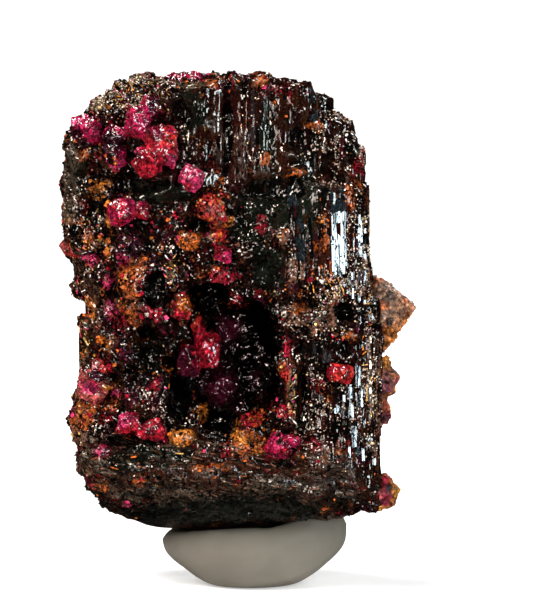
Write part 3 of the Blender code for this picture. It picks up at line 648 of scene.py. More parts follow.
def layered_facets(points, *layers):
    """Facets of several sizes together. Each layer is a size, a strength and a seed."""
    return sum(facets(points, size, seed) * strength for size, strength, seed in layers)


def cell_choice(points, size, seed=0.0):
    """A number between 0 and 1 that is the same all over one cell."""
    return np.array([cell_numbers(p)[1].y for p in points / size + seed])


def around(points):
    """How far round the crystal each point lies, in millimetres."""
    return np.arctan2(points[:, 1] - AXIS_Y, points[:, 0] - AXIS_X) * GIRTH


def grown_share(points):
    """1 on the striated prism faces, 0 on the broken front."""
    x, y, z = points.T
    wobble = wander(points, 2.2, 5.0) * 0.9
    high = z + wobble
    barrels = smooth_step(*BARRELS_LEFT, x + wobble * 0.5) * smooth_step(*BARRELS_FOOT, high)
    barrels *= 1 - 0.9 * smooth_step(*BREAK_FOOT, high) * smooth_step(*BREAK_TOP, high) * (x < BREAK_RIGHT)
    crown = smooth_step(*CROWN_LEFT, x) * smooth_step(*CROWN_FOOT, high)
    block = 0.8 * smooth_step(*BLOCK_LEFT, x) * smooth_step(*BLOCK_RIGHT, x) * smooth_step(*BLOCK_FOOT, z)
    side = smooth_step(*SIDE_LEFT, x) * smooth_step(*SIDE_FOOT, z)
    back = smooth_step(*BACK_FRONT, y) * smooth_step(*BACK_FOOT, z)
    top = 1 - smooth_step(*BROKEN_TOP, z)
    return np.maximum.reduce([barrels, crown, block, side, back]) * np.clip(top + 0.3, 0, 1)


def reach_of(points, x, z, wide, high):
    """How far each point lies from a spot's middle, seen from the front: 1 on the spot's edge."""
    return np.hypot((points[:, 0] - x) / wide, (points[:, 2] - z) / high)


def cover(points, spots, ragged=0.0, rim=SPOT_RIM, margin=0.0):
    """How strongly the spots of a table cover each point, with ragged edges if wanted."""
    share = np.zeros(len(points))
    for x, z, wide, high in spots:
        reach = reach_of(points, x, z, wide + margin, high + margin)
        share = np.maximum(share, smooth_step(*rim, reach + ragged))
    return share


def spot_shares(points):
    """For each colour, how strongly its spots cover each point of the front."""
    ragged = ripple(points, 0.9, 3, 3.0) * 0.44
    front = smooth_step(1.5, -0.5, points[:, 1])
    return {name: cover(points, rows, ragged, (1.25, 0.65), 0.06) * front for name, rows in SPOTS.items()}


def spot_tints(tints, points, spots, ragged, strength=1.0):
    """The tints with each spot's own colour laid over them."""
    for colour, *spot in spots:
        tints = blend(tints, colour, strength * cover(points, [spot], ragged))
    return tints


def grown_relief(points):
    """Grooves up the prism faces, and steps between bundles of them, in millimetres."""
    ring = np.stack([around(points), np.zeros(len(points)), points[:, 2] * 0.10], 1)
    grooves = wander(ring, 0.95, 2.0) + 0.6 * wander(ring, 0.5, 7.0) + 0.35 * wander(ring, 0.3, 9.0)
    steps = cell_choice(ring * (1, 1, 2.2), 0.8, 4.0) - 0.5
    return sizes().striation / MM * (grooves + 1.1 * steps)


def fibre_drop(x):
    """How far the fibres round the foot drop for each millimetre that they run to the right."""
    return np.where(x < 0, 0.22, 0.12)


def broken_relief(points):
    """Flats of the rough front, and slanting fibres low on it, in millimetres."""
    x, y, z = points.T
    broken = layered_facets(points, (1.25, 0.55, 1.0), (0.55, 0.75, 6.0)) + 0.2 * ripple(points, 0.5, 2, 8.0)
    fibres = points * (0.35, 0.35, 1.0)
    fibres[:, 2] += x * fibre_drop(x)
    low = smooth_step(9.3, 8.2, z) * smooth_step(2.0, 0.0, y)
    broken += low * 0.45 * ripple(fibres, 0.55, 2, 14.0)
    return sizes().breakage / MM * broken


def skin_colours(points, grown, shares):
    """The stone's own colour, the colour of the flecks on it, and how thickly they lie."""
    z = points[:, 2]
    mottle = ripple(points * (1, 1, 0.8), 1.3, 4, 20.0)
    patch = cell_choice(points + 0.25 * mottle[:, None], 0.8, 8.0)
    ledge = smooth_step(*LEDGE_FOOT, z) * smooth_step(*LEDGE_TOP, z)
    stone = blend(tint("black"), tint("maroon"), smooth_step(-0.05, 0.55, mottle) * (1 - 0.5 * grown))
    column = cell_choice(np.stack([around(points), 0 * grown, z * 0.12], 1), 0.75, 17.0)
    stone = blend(stone, tint("maroon") * 0.8, grown * (column > 0.50) * smooth_step(16, 20, z))
    stone = blend(stone, tint("brown") * 0.5, 0.7 * grown * (column > 0.78))
    flecks = blend(tint("brown"), tint("rust"), (0.8 - 0.6 * ledge) * (patch > 0.86))
    flecks = blend(flecks, tint("crimson") * 0.6, (patch < 0.12) * (1 - 0.7 * grown))
    flecks = blend(flecks, tint("purple"), (patch > 0.12) & (patch < 0.30))
    amount = 0.40 + 0.30 * np.clip(mottle, -0.8, 0.8) - 0.08 * grown + 0.25 * ledge
    for name, share in shares.items():
        if name in BARE:
            # Black spots darken the stone to the darkest black, partly painted shade in the pockets; grey
            # spots lay the grey stone.
            stone = blend(stone, tint(name), share)
            amount *= 1 - 0.85 * share
        else:
            flecks = blend(flecks, tint(name) * (0.12 if name == "gold" else 0.8), share)
            amount = np.maximum(amount, 0.62 * share)
    uneven = 0.35 + 1.1 * cell_choice(points, 0.32, 15.0)
    return stone, flecks * uneven[:, None], np.clip(amount, 0, 1)


# Materials


class Shader:
    """A material with one Principled shader, and short ways to add nodes to it."""

    def __init__(self, name, **values):
        self.material = bpy.data.materials.new(name)
        self.material.use_nodes = True
        self.tree = self.material.node_tree
        self.main = self.tree.nodes["Principled BSDF"]
        self.give(**values)

    def set(self, node, socket, value):
        """Links a node's socket to another socket, or sets it to a number or a colour."""
        target = node.inputs[socket]
        if isinstance(value, bpy.types.NodeSocket):
            self.tree.links.new(value, target)
        else:
            four = hasattr(value, "__len__") and len(value) == 3 and len(target.default_value) == 4
            target.default_value = (*value, 1.0) if four else value

    def give(self, **values):
        """Sets the Principled shader's own sockets. A low line stands for a space."""
        for socket, value in values.items():
            self.set(self.main, socket.replace("_", " "), value)

    def add(self, kind, inputs=(), **settings):
        """A new node with its inputs and settings."""
        node = self.tree.nodes.new(kind)
        for name, value in settings.items():
            setattr(node, name, value)
        for socket, value in dict(inputs).items():
            self.set(node, socket, value)
        return node

    def place(self, stretch=(1, 1, 1)):
        """Object coordinates in millimetres, stretched."""
        where = self.add("ShaderNodeTexCoord").outputs["Object"]
        mapping = self.add("ShaderNodeMapping", {"Vector": where, "Scale": Vector(stretch) / MM})
        return mapping.outputs["Vector"]

    def noise(self, scale, detail=3.0, rough=0.6, stretch=(1, 1, 1)):
        """Smooth noise, with about that many waves in a millimetre."""
        inputs = {"Vector": self.place(stretch), "Scale": scale, "Detail": detail, "Roughness": rough}
        return self.add("ShaderNodeTexNoise", inputs).outputs["Fac"]

    def ramp(self, value, *stops):
        """A colour or a brightness for each value, from stops of a value and what it gives."""
        node = self.add("ShaderNodeValToRGB", {"Fac": value})
        while len(node.color_ramp.elements) < len(stops):
            node.color_ramp.elements.new(1.0)
        for element, (place, colour) in zip(node.color_ramp.elements, stops):
            element.position = place
            element.color = (*colour, 1.0) if hasattr(colour, "__len__") else (colour, colour, colour, 1.0)
        return node.outputs["Color"]

    def span(self, value, low, high, out_low, out_high):
        """The value, brought from one span to another."""
        inputs = {"Value": value, 1: low, 2: high, 3: out_low, 4: out_high}
        return self.add("ShaderNodeMapRange", inputs).outputs["Result"]

    def blend(self, share, first, second, mode="MIX"):
        """The first colour, blended with the second by a share."""
        inputs = {0: share, 6: first, 7: second}
        return self.add("ShaderNodeMix", inputs, data_type="RGBA", blend_type=mode).outputs[2]

    def maths(self, operation, first, second):
        """A sum, a product or another operation on two numbers."""
        return self.add("ShaderNodeMath", {0: first, 1: second}, operation=operation).outputs[0]

    def vectors(self, operation, first, second, socket=1):
        """The same for two vectors, or for a vector and the number in another socket."""
        return self.add("ShaderNodeVectorMath", {0: first, socket: second}, operation=operation).outputs[0]

    def attribute(self, name, output="Fac"):
        """A number or a colour that the piece's points carry."""
        return self.add("ShaderNodeAttribute", attribute_name=name).outputs[output]

    def shade(self, *shades, base=None):
        """Colours the surface with the piece's own tint, or another base, made lighter and darker."""
        colour = self.attribute("tint", "Color") if base is None else base
        for shade in shades:
            colour = self.blend(1.0, colour, shade, "MULTIPLY")
        self.give(Base_Color=colour)

    def flats(self, scale, lean, stretch=(1, 1, 1)):
        """The surface normal, leaning another way on each small flat so that they glint one by one."""
        cells = self.add("ShaderNodeTexVoronoi", {"Vector": self.place(stretch), "Scale": scale})
        centred = self.vectors("SUBTRACT", cells.outputs["Color"], HALF)
        scaled = self.vectors("SCALE", centred, lean, "Scale")
        normal = self.add("ShaderNodeNewGeometry").outputs["Normal"]
        leant = self.vectors("ADD", normal, scaled)
        return self.add("ShaderNodeVectorMath", {0: leant}, operation="NORMALIZE").outputs[0]

    def relief(self, height, strength, distance, normal=None):
        """Fine relief of a height, over a normal if there is one. The distance is in millimetres."""
        inputs = {"Height": height, "Strength": strength, "Distance": distance * MM}
        if normal is not None:
            inputs["Normal"] = normal
        self.give(Normal=self.add("ShaderNodeBump", inputs).outputs["Normal"])


def painite_material():
    """Black stone with maroon and rusty flecks, whose small flats catch the light one by one."""
    shader = Shader("painite", IOR=1.70, Specular_IOR_Level=0.45, Specular_Tint=(1.0, 0.89, 0.80))
    grown = shader.attribute("grown")
    fine = shader.noise(4.5, 5.0, 0.75)
    grit = shader.noise(9.0, 3.0, 0.7, (1, 1, 0.8))
    amount = shader.maths("MULTIPLY", shader.attribute("amount"), 0.36)
    mask = shader.span(shader.maths("ADD", fine, amount), 0.66, 0.72, 0.0, 1.0)
    base = shader.blend(mask, shader.attribute("tint", "Color"), shader.attribute("flecks", "Color"))
    shader.shade(shader.ramp(grit, (0.36, 0.12), (0.48, 0.75), (0.64, 2.2)), base=base)
    polish = shader.span(grit, 0.35, 0.65, 0.03, 0.10)
    earthy = shader.maths("MULTIPLY", shader.attribute("earth"), mask)
    dull = shader.maths("MULTIPLY", shader.maths("MAXIMUM", earthy, shader.attribute("matt")), 0.22)
    shader.give(Roughness=shader.maths("ADD", polish, dull))
    patches = shader.noise(0.9, 2.0, 0.5)
    grains = shader.flats(9.0, shader.span(patches, 0.47, 0.62, 0.20, 0.85))
    bars = shader.flats(9.0, shader.span(patches, 0.48, 0.62, 0.12, 0.80), (1, 1, 0.3))
    grooves = shader.noise(1.0, 4.0, 0.65, (7, 7, 0.35))
    grooved = shader.maths("MULTIPLY", grooves, grown)
    height = shader.maths("ADD", grooved, shader.maths("MULTIPLY", fine, 1.2))
    shader.relief(height, 0.10, 0.06, shader.blend(grown, grains, bars))
    return shader.material


def druse_material(name, rough, clear=0.0, lean=0.22, bend=1.85, gloss=(1.0, 0.86, 0.76)):
    """Small crystals that carry their own colour. bend is how strongly they bend and mirror light."""
    shader = Shader(name, IOR=bend, Transmission_Weight=clear, Specular_Tint=gloss)
    fine = shader.noise(8.0, 3.0, 0.7)
    shader.shade(shader.ramp(fine, (0.36, 0.20), (0.50, 0.85), (0.64, 2.0)))
    shader.give(Roughness=shader.span(fine, 0.3, 0.7, rough * 0.4, rough * 1.6))
    shader.relief(shader.noise(14.0, 2.0), 0.1, 0.03, shader.flats(11.0, lean))
    return shader.material


def ruby_material(name, shine, lean):
    """Ruby that lets some light in, with glittering flats and dark veils."""
    shader = Shader(
        name,
        IOR=1.76,
        Specular_IOR_Level=shine,
        Transmission_Weight=0.25,
        Subsurface_Weight=0.12,
        Subsurface_Scale=0.0004,
        Subsurface_Radius=(1.0, 0.15, 0.25),
    )
    grit = shader.noise(7.0, 3.0, 0.7)
    shader.shade(
        shader.ramp(shader.noise(2.8, 5.0, 0.75), (0.36, 0.16), (0.50, 0.9), (0.64, 2.1)),
        shader.ramp(grit, (0.36, 0.30), (0.50, 0.9), (0.64, 2.3)),
    )
    shader.give(Roughness=shader.span(grit, 0.35, 0.7, 0.05, 0.16))
    shader.relief(shader.noise(9.0), 0.12, 0.04, shader.flats(6.0, lean))
    return shader.material


def crust_material():
    """Dark crystals in the hollow, with strongly leaning flats where they sparkle."""
    shader = Shader("hollow_crust", IOR=1.55, Specular_Tint=(1.0, 0.78, 0.80))
    fine = shader.noise(4.0, 4.0, 0.7)
    shader.shade(shader.ramp(fine, (0.38, 0.15), (0.66, 1.6)))
    shader.give(Roughness=shader.span(fine, 0.35, 0.65, 0.03, 0.16))
    lean = shader.span(shader.attribute("sparkle"), 0.0, 1.0, 0.06, 0.8)
    shader.relief(shader.noise(8.0), 0.06, 0.04, shader.flats(6.0, lean))
    return shader.material


def matrix_material():
    """Rusty rock of small clear and stained grains."""
    shader = Shader("matrix", IOR=1.42)
    cells = shader.add("ShaderNodeTexVoronoi", {"Vector": shader.place(), "Scale": 3.4})
    fine = shader.noise(5.0, 4.0, 0.72)
    shader.shade(
        shader.ramp(fine, (0.36, 0.22), (0.50, 0.85), (0.66, 1.9)),
        shader.ramp(cells.outputs["Distance"], (0.1, 1.25), (0.55, 0.45)),
    )
    shader.give(Roughness=shader.span(fine, 0.3, 0.7, 0.15, 0.5))
    shader.relief(shader.noise(9.0), 0.6, 0.06, shader.flats(5.0, 0.9))
    return shader.material


def prism_material():
    """Mirror-smooth bars with fine lines up them and small pits."""
    shader = Shader("prism_face", IOR=1.80)
    pits = shader.noise(6.0, stretch=(1, 1, 0.7))
    lines = shader.noise(1.0, stretch=(12, 12, 0.12))
    shader.shade(shader.ramp(pits, (0.45, 1.0), (0.65, 0.3)))
    shader.give(Roughness=shader.ramp(pits, (0.40, 0.05), (0.57, 0.08), (0.60, 0.7)))
    shader.relief(shader.maths("ADD", lines, shader.maths("MULTIPLY", pits, 0.5)), 0.22, 0.02)
    return shader.material


def putty_material():
    """Matte putty, clouded, and a little darker above its foot: painted light that lifts the shade on its
    lower part.
    """
    shader = Shader(
        "putty", IOR=1.45, Specular_IOR_Level=0.35, Subsurface_Weight=0.06, Subsurface_Scale=0.001
    )
    cloud = shader.noise(0.35, 3.0, 0.5)
    # Painted light: the base colour is paler low on the putty, to lift the shade that falls on its lower
    # part.
    height = shader.add("ShaderNodeSeparateXYZ", {0: shader.place()}).outputs["Z"]
    shader.shade(
        shader.ramp(shader.span(height, 0.5, 3.0, 0.0, 1.0), (0.0, 1.0), (1.0, 0.72)),
        base=shader.ramp(cloud, (0.35, tint("putty") * 0.92), (0.65, tint("putty") * 1.06)),
    )
    shader.give(Roughness=shader.span(cloud, 0.3, 0.7, 0.52, 0.68))
    shader.relief(shader.noise(2.5), 0.15, 0.05)
    return shader.material


def stage_material():
    """Matte white that glows a little of its own."""
    return Shader(
        "sweep",
        Base_Color=tuple(colours().floor),
        Roughness=0.9,
        Specular_IOR_Level=0.0,
        Emission_Color=(1, 1, 1, 1),
        Emission_Strength=light().glow,
    ).material


# Grains


def crystal_template(dice, cuts, lean):
    """A small crystal: a block trimmed by a few planes. A small lean keeps them off the block's ends."""
    bm = bmesh.new()
    bmesh.ops.create_cube(bm, size=2 * HALF_BLOCK)
    for _ in range(cuts):
        way = Vector((dice.gauss(0, 1), dice.gauss(0, 1), dice.gauss(0, 1) * lean)).normalized()
        cut = bmesh.ops.bisect_plane(
            bm,
            geom=bm.verts[:] + bm.edges[:] + bm.faces[:],
            dist=1e-5,
            plane_co=way * dice.uniform(0.6, 0.9),
            plane_no=way,
            clear_outer=True,
        )
        rim = [part for part in cut["geom_cut"] if isinstance(part, bmesh.types.BMEdge)]
        if rim:
            bmesh.ops.contextual_create(bm, geom=rim)
    bmesh.ops.recalc_face_normals(bm, faces=bm.faces[:])
    mesh = bpy.data.meshes.new("crystal")
    bm.to_mesh(mesh)
    bm.free()
    return mesh


class Heap:
    """Many small crystals that become one piece. trims holds how many cuts its shapes have, in turn."""

    def __init__(self, seed, long=False, trims=(2, 3, 4)):
        self.dice = random.Random(seed)
        self.heap = bmesh.new()
        self.tints = []
        self.shapes = []
        for index in range(HEAP_SHAPES):
            mesh = crystal_template(self.dice, trims[index % len(trims)], 0.25 if long else 1.0)
            points = np.empty(len(mesh.vertices) * 3)
            mesh.vertices.foreach_get("co", points)
            self.shapes.append((mesh, points.reshape(-1, 3)))

    def add(self, place, half_sizes, colour, axes=None):
        """One crystal at a place in millimetres. axes holds its own three directions, as rows."""
        mesh, points = self.dice.choice(self.shapes)
        if axes is None:
            axes = Euler([self.dice.uniform(0, math.tau) for _ in range(3)]).to_matrix()
        moved = ((points * half_sizes) @ np.array(axes) + place) * MM
        mesh.vertices.foreach_set("co", moved.astype(np.float32).ravel())
        self.heap.from_mesh(mesh)
        self.tints.append(np.tile(colour, (len(points), 1)))

    def finish(self, name, slot, material):
        """Turns the heap into one piece whose crystals keep their colours, and hands it over."""
        piece = make_piece(name, self.heap, material, smooth=False)
        paint(piece.data, "tint", np.concatenate(self.tints))
        for mesh, _ in self.shapes:
            bpy.data.meshes.remove(mesh)
        hand_over(piece, slot)


def near(dice, size, spread):
    """A random size near the given one."""
    return size * math.exp(dice.gauss(0, spread))


def squat(dice, size, low=0.7, high=1.2):
    """Three half sizes near the given one."""
    return [size * dice.uniform(low, high) for _ in range(3)]


def lying_axes(normal, along, dice, wobble):
    """Directions for a long crystal that lies on a surface and points along a way, give or take."""
    way = Vector(along) + Vector([dice.gauss(0, wobble) for _ in range(3)])
    out = Vector(normal)
    way = (way - out * way.dot(out) * 0.85).normalized()
    side = out.cross(way).normalized()
    return np.array((side, way.cross(side), way))


def pick_tint(mix, dice):
    """A colour's name, picked from a mix, and that colour made a little lighter or darker."""
    name = dice.choices(list(mix), list(mix.values()))[0]
    return name, np.clip(tint(name) * math.exp(dice.gauss(-0.15, 0.45)), 0, 0.9)


def skin_mesh():
    """The dressed painite's mesh."""
    return bpy.data.objects["painite_skin"].data


def skin_tree():
    """The dressed painite's surface, for finding what lies on it."""
    bm = bmesh.new()
    bm.from_mesh(skin_mesh())
    tree = BVHTree.FromBMesh(bm)
    bm.free()
    return tree


def skin_depth(tree, x, z):
    """The y where a ray from the front meets the skin, or MISSED."""
    hit = tree.ray_cast(Vector((x, RAY_START, z)) * MM, Vector((0, 1, 0)))[0]
    return hit.y / MM if hit else MISSED


def stands_off(tree, point, limit):
    """Whether a point in millimetres lies further than the limit outside the skin."""
    spot = Vector(point) * MM
    nearest, normal, _, _ = tree.find_nearest(spot)
    return (spot - nearest).dot(normal) > limit * MM


def surface_places(mesh, count, seed, weigh):
    """Random places on a mesh, in millimetres, with their normals. weigh gives each face a weight."""
    mesh.calc_loop_triangles()
    corners = np.empty(len(mesh.loop_triangles) * 3, np.int64)
    mesh.loop_triangles.foreach_get("vertices", corners)
    points, _ = read_points(mesh)
    corners = points[corners.reshape(-1, 3)]
    cross = np.cross(corners[:, 1] - corners[:, 0], corners[:, 2] - corners[:, 0])
    area = np.linalg.norm(cross, axis=1)
    normals = cross / np.maximum(area, 1e-12)[:, None]
    share = area * weigh(corners.mean(1), normals)
    random_numbers = np.random.default_rng(seed)
    picked = random_numbers.choice(len(area), size=count, p=share / share.sum())
    first, second = random_numbers.random((2, count, 1))
    flip = first + second > 1
    first, second = np.where(flip, 1 - first, first), np.where(flip, 1 - second, second)
    spots = corners[picked]
    places = spots[:, 0] + first * (spots[:, 1] - spots[:, 0]) + second * (spots[:, 2] - spots[:, 0])
    return places, normals[picked]


def even_weight(points, normals):
    """The same weight everywhere."""
    return np.ones(len(points))


def druse_weight(points, normals):
    """Clumps on the rough front, thin on grown faces, low down and deep in the hollow."""
    _, y, z = points.T
    front = smooth_step(2.0, -1.0, y)
    foot = smooth_step(3.8, 4.8, z) * (1 - 0.7 * smooth_step(9.6, 8.4, z))
    clumps = 0.15 + smooth_step(-0.25, 0.25, wander(points, 1.1, 60.0))
    clumps *= 1 - 0.8 * (reach_of(points, *HOLLOW) < 1) * (y > HOLLOW_RIM)
    return (0.22 + 0.78 * front) * (1 - 0.84 * grown_share(points)) * foot * clumps


def upright_weight(points, normals):
    """Grown faces, thinner at the front left and on the crown."""
    x, y, z = points.T
    front = smooth_step(3.0, 0.0, y)
    block = 1 - 0.7 * (x < -0.4) * (y < 0)
    block -= 0.6 * (x > -0.4) * (x < 4.5) * (z > 23.5)
    return grown_share(points) * block * (0.2 + 0.8 * front) * (np.abs(normals[:, 2]) < 0.6)


def lying_weight(points, normals):
    """The rough band above the putty."""
    _, y, z = points.T
    band = smooth_step(4.2, 5.0, z) * smooth_step(10.0, 8.6, z)
    return band * smooth_step(3.0, -2.0, y) * (1 - grown_share(points))


def flank_weight(points, normals):
    """The left flank."""
    x, y, z = points.T
    return smooth_step(-7.0, -8.2, x) * (np.abs(z - 16) < 6.5) * smooth_step(4.0, 0.0, y)


def wire_weight(points, normals):
    """The wire zones of the front."""
    return cover(points, WIRE_ZONES) * smooth_step(2.0, -1.0, points[:, 1])


def glitter_weight(points, normals):
    """Clumps, thick in the glitter zones and thin elsewhere on the front."""
    x, y, z = points.T
    zones = np.where(x < -8, 0.20, 0.11)
    for *zone, thick in GLITTER_ZONES:
        zones = np.maximum(zones, thick * smooth_step(1.4, 0.6, reach_of(points, *zone)))
    clumps = smooth_step(-0.35, 0.35, wander(points, 0.8, 6.0)) + 0.1
    front = 0.12 + 0.88 * smooth_step(3.0, -1.0, y)
    return zones * clumps * front * smooth_step(7.5, 9.2, z)


def long_way(lot, place):
    """Which way a long crystal points, by how it lies and where."""
    if lot == "lying":
        return (1, 0, -float(fibre_drop(place[0])))
    if lot == "wire":
        return noise.cell_vector(Vector(place) / 0.9) - HALF
    return (0, 0, 1) if lot == "upright" else FLANK_WAY


def pick_region(dice, grown, covers):
    """The spot colour that a druse crystal stands in, or else the kind of face."""
    region = "grown" if dice.random() < grown else "rough"
    for name, share in covers.items():
        if share * (0.28 if name == "gold" else 0.9) > dice.random():
            region = name
    return "black" if covers["black"] > 0.4 else region


def pick_kind(name, region, z):
    """Which heap a druse crystal belongs to: gem, rust or dark."""
    if name in GEMMY:
        return "gem"
    return "rust" if name in EARTHY or region == "grey" and z < DUSTY_TOP else "dark"


# Operators


class PAINITE_OT_body(bpy.types.Operator):
    """Dress the painite crystal: grooves on its grown faces, broken flats on its rough front"""

    bl_idname = "painite.body"
    bl_label = "Painite body"
    bl_options = {"REGISTER", "UNDO"}

    def execute(self, context):
        bm = node_copy("painite_crystal")
        for x, y, z, wide, deep, high in SKIN_LUMPS:
            place = Matrix.Translation(Vector((x, y, z)) * MM)
            swell = Matrix.Diagonal((wide * MM, deep * MM, high * MM, 1))
            bmesh.ops.create_icosphere(bm, subdivisions=2, radius=1, matrix=place @ swell)
        piece, points, normals = even_piece("painite_skin", bm, painite_material(), sizes().skin_step)
        x, _, z = points.T
        grown = grown_share(points)
        shares = spot_shares(points)
        earth = np.maximum.reduce([shares[name] for name in EARTHY])
        pockets = sizes().pocket / MM * (0.25 * earth - shares["black"])
        relief = grown * grown_relief(points) + (1 - grown) * broken_relief(points)
        waist = smooth_step(*WAIST_RIGHT, x) * smooth_step(*WAIST_FOOT, z) * smooth_step(*WAIST_TOP, z)
        moved = points + normals * ((relief + pockets) * smooth_step(*PUTTY_LINE, z))[:, None]
        moved[:, 0] += WAIST_SHIFT * waist
        write_points(piece.data, moved)
        stone, flecks, amount = skin_colours(points, grown, shares)
        # Painted shade: the stone and its flecks are darker in the hollows of the relief. They are lighter
        # on its ridges, partly as wear and partly as painted light.
        relief_shade = (0.45 + 0.85 * smooth_step(-0.16, 0.16, relief))[:, None]
        paint(piece.data, "tint", stone * relief_shade)
        paint(piece.data, "flecks", flecks * relief_shade)
        paint(piece.data, "amount", amount)
        paint(piece.data, "earth", np.clip(earth + 0.5 * (1 - grown), 0, 1))
        paint(piece.data, "grown", grown)
        paint(piece.data, "matt", np.maximum(shares["grey"] * (z < DUSTY_TOP), 0.7 * shares["tan"]))
        hand_over(piece, "painite", "painite_crystal")
        return {"FINISHED"}


class PAINITE_OT_prism_faces(bpy.types.Operator):
    """Lay the bundles of polished bars that mirror the light on the right"""

    bl_idname = "painite.prism_faces"
    bl_label = "Prism faces"
    bl_options = {"REGISTER", "UNDO"}

    def execute(self, context):
        heap = Heap(31, long=True, trims=(0, 1))
        dice = random.Random(7)
        tree = skin_tree()
        for middle, width, foot, top, turn, run, tone in PRISM_BARS:
            rows = max(1, round(width / BAR_SPACING))
            slope = math.radians(turn)
            for row in range(rows):
                x = middle + ((row + 0.5) / rows - 0.5) * width * math.cos(slope)
                z = foot + dice.uniform(0, 0.25 * run)
                while z < top - 0.3:
                    length = min(run * dice.uniform(0.5, 1.5), top + dice.uniform(-0.3, 0.3) - z)
                    depths = sorted(skin_depth(tree, x, z + share * length) for share in BAR_PROBES)
                    yaw = slope + math.radians(dice.gauss(0, 0.9 if run > 2 else 2.0))
                    lean = math.radians(3 + dice.gauss(0, 0.8))
                    if depths[-1] < MISSED:
                        axes = Matrix.Rotation(yaw, 3, "Z") @ Matrix.Rotation(-lean, 3, "X")
                        shape = (0.62 * width / rows / HALF_BLOCK, BAR_HALF_DEPTH, 0.5 * length / HALF_BLOCK)
                        place = np.array((x, depths[1] + 0.05, z + length / 2))
                        # Tint 1 is painted reflection and the pale edge on the right a painted highlight, as
                        # told at BAR_TINTS.
                        heap.add(place, shape, BAR_TINTS[tone], axes.transposed())
                    z += length + max(0, dice.gauss(0.5 / run - 0.3, 0.3))
        heap.finish("prism_faces", "painite", prism_material())
        return {"FINISHED"}


class PAINITE_OT_rubies(bpy.types.Operator):
    """Dress each ruby: lumpy flats, growth steps and veils of two colours"""

    bl_idname = "painite.rubies"
    bl_label = "Rubies"
    bl_options = {"REGISTER", "UNDO"}

    def execute(self, context):
        bright = ruby_material("ruby", 0.55, 0.48)
        deep = ruby_material("ruby_deep", 0.16, 0.30)
        for number, (node, (main, second, lumpy)) in enumerate(RUBY_LOOKS.items()):
            bm = node_copy(node)
            middle = sum((vert.co for vert in bm.verts), Vector()) / len(bm.verts)
            there, back = Matrix.Translation(middle), Matrix.Translation(-middle)
            wide = GEM_WIDTHS.get(node, GEM_WIDTH)
            swell = there @ Matrix.Diagonal((wide, GEM_DEPTH, wide, 1)) @ back
            turn = there @ Matrix.Rotation(math.radians(GEM_TURNS.get(node, 0)), 4, "Z") @ back
            bmesh.ops.transform(bm, matrix=turn @ swell, verts=bm.verts[:])
            material = deep if node == "ruby_cavity" else bright
            piece, points, normals = even_piece(node + "_gem", bm, material, sizes().ruby_step)
            seed = 3.7 * number
            lumps = layered_facets(points, (1.1, 0.22, seed), (0.5, 0.22, seed + 2), (0.25, 0.16, seed + 4))
            points = points + normals * (lumpy * lumps + 0.02 * wander(points, 0.2, seed))[:, None]
            write_points(piece.data, points)
            veil = smooth_step(-0.25, 0.3, ripple(points, 1.3, 3, seed))
            ragged = 0.5 * ripple(points, 0.6, 2, seed + 5)
            spots = [(tint(name), *spot) for name, *spot in GEM_SPOTS]
            tints = spot_tints(blend(tint(main), tint(second), veil), points, spots, ragged)
            # Painted shade: each ruby is darker in the hollows between its lumps.
            depth = smooth_step(0.3, -0.3, lumps / 0.2)[:, None] * 0.6
            paint(piece.data, "tint", tints * (1 - depth))
            hand_over(piece, "ruby", node)
        return {"FINISHED"}


class PAINITE_OT_crust(bpy.types.Operator):
    """Dress the hollow's crust: dark purple crystals that catch a few sparks"""

    bl_idname = "painite.crust"
    bl_label = "Hollow's crust"
    bl_options = {"REGISTER", "UNDO"}

    def execute(self, context):
        bm = node_copy("cavity_crust")
        piece, points, normals = even_piece("cavity_lining", bm, crust_material(), sizes().crust_step)
        relief = layered_facets(points, (0.75, 0.5, 3.0), (0.35, 0.4, 5.0))
        relief += 0.09 * ripple(points, 0.4, 2, 12.0)
        points = points + normals * relief[:, None]
        write_points(piece.data, points)
        shares = spot_shares(points)
        dark = tint("black") * 0.6
        tints = blend(dark, tint("purple") * 0.35, smooth_step(0.0, 0.6, ripple(points, 1.4, 3, 2.0)))
        # Painted shade: the black spots darken the crust further in the hollow's pockets.
        tints = blend(tints, dark * 0.5, shares["black"])
        tints = blend(tints, tint("purple") * 0.75, shares["purple"])
        paint(piece.data, "tint", tints)
        paint(piece.data, "sparkle", cover(points, CRUST_SPARKS, 0.6 * ripple(points, 0.5, 2, 9.0)))
        hand_over(piece, "crust", "cavity_crust")
        return {"FINISHED"}


class PAINITE_OT_matrix(bpy.types.Operator):
    """Dress the three chunks of rusty matrix"""

    bl_idname = "painite.matrix"
    bl_label = "Matrix"
    bl_options = {"REGISTER", "UNDO"}

    def execute(self, context):
        material = matrix_material()
        for number, (node, (base, warm, cool, trim)) in enumerate(MATRIX_LOOKS.items()):
            bm = node_copy(node)
            piece, points, normals = even_piece(node + "_rock", bm, material, sizes().matrix_step)
            seed = 5.1 * number
            relief = layered_facets(points, (0.8, 0.30, seed), (0.35, 0.30, seed + 3))
            points = points + normals * (relief - trim)[:, None]
            write_points(piece.data, points)
            warmth = smooth_step(-0.05, 0.25, ripple(points, 1.5, 3, seed + 1))
            coolness = smooth_step(0.0, 0.25, ripple(points, 1.3, 3, seed + 7))
            ragged = 0.5 * ripple(points, 0.6, 2, seed + 5)
            tints = blend(blend(np.array(base), np.array(warm), warmth), np.array(cool), coolness)
            tints = spot_tints(tints, points, ROCK_SPOTS, ragged, 0.85)
            tints[cell_choice(points, 0.4, seed) > 0.88] *= 0.18
            # Painted shade: each chunk is darker in the hollows of its relief and lighter on the ridges.
            tints *= (0.45 + 0.8 * smooth_step(-0.1, 0.1, relief))[:, None]
            paint(piece.data, "tint", tints)
            hand_over(piece, "matrix", node)
        return {"FINISHED"}


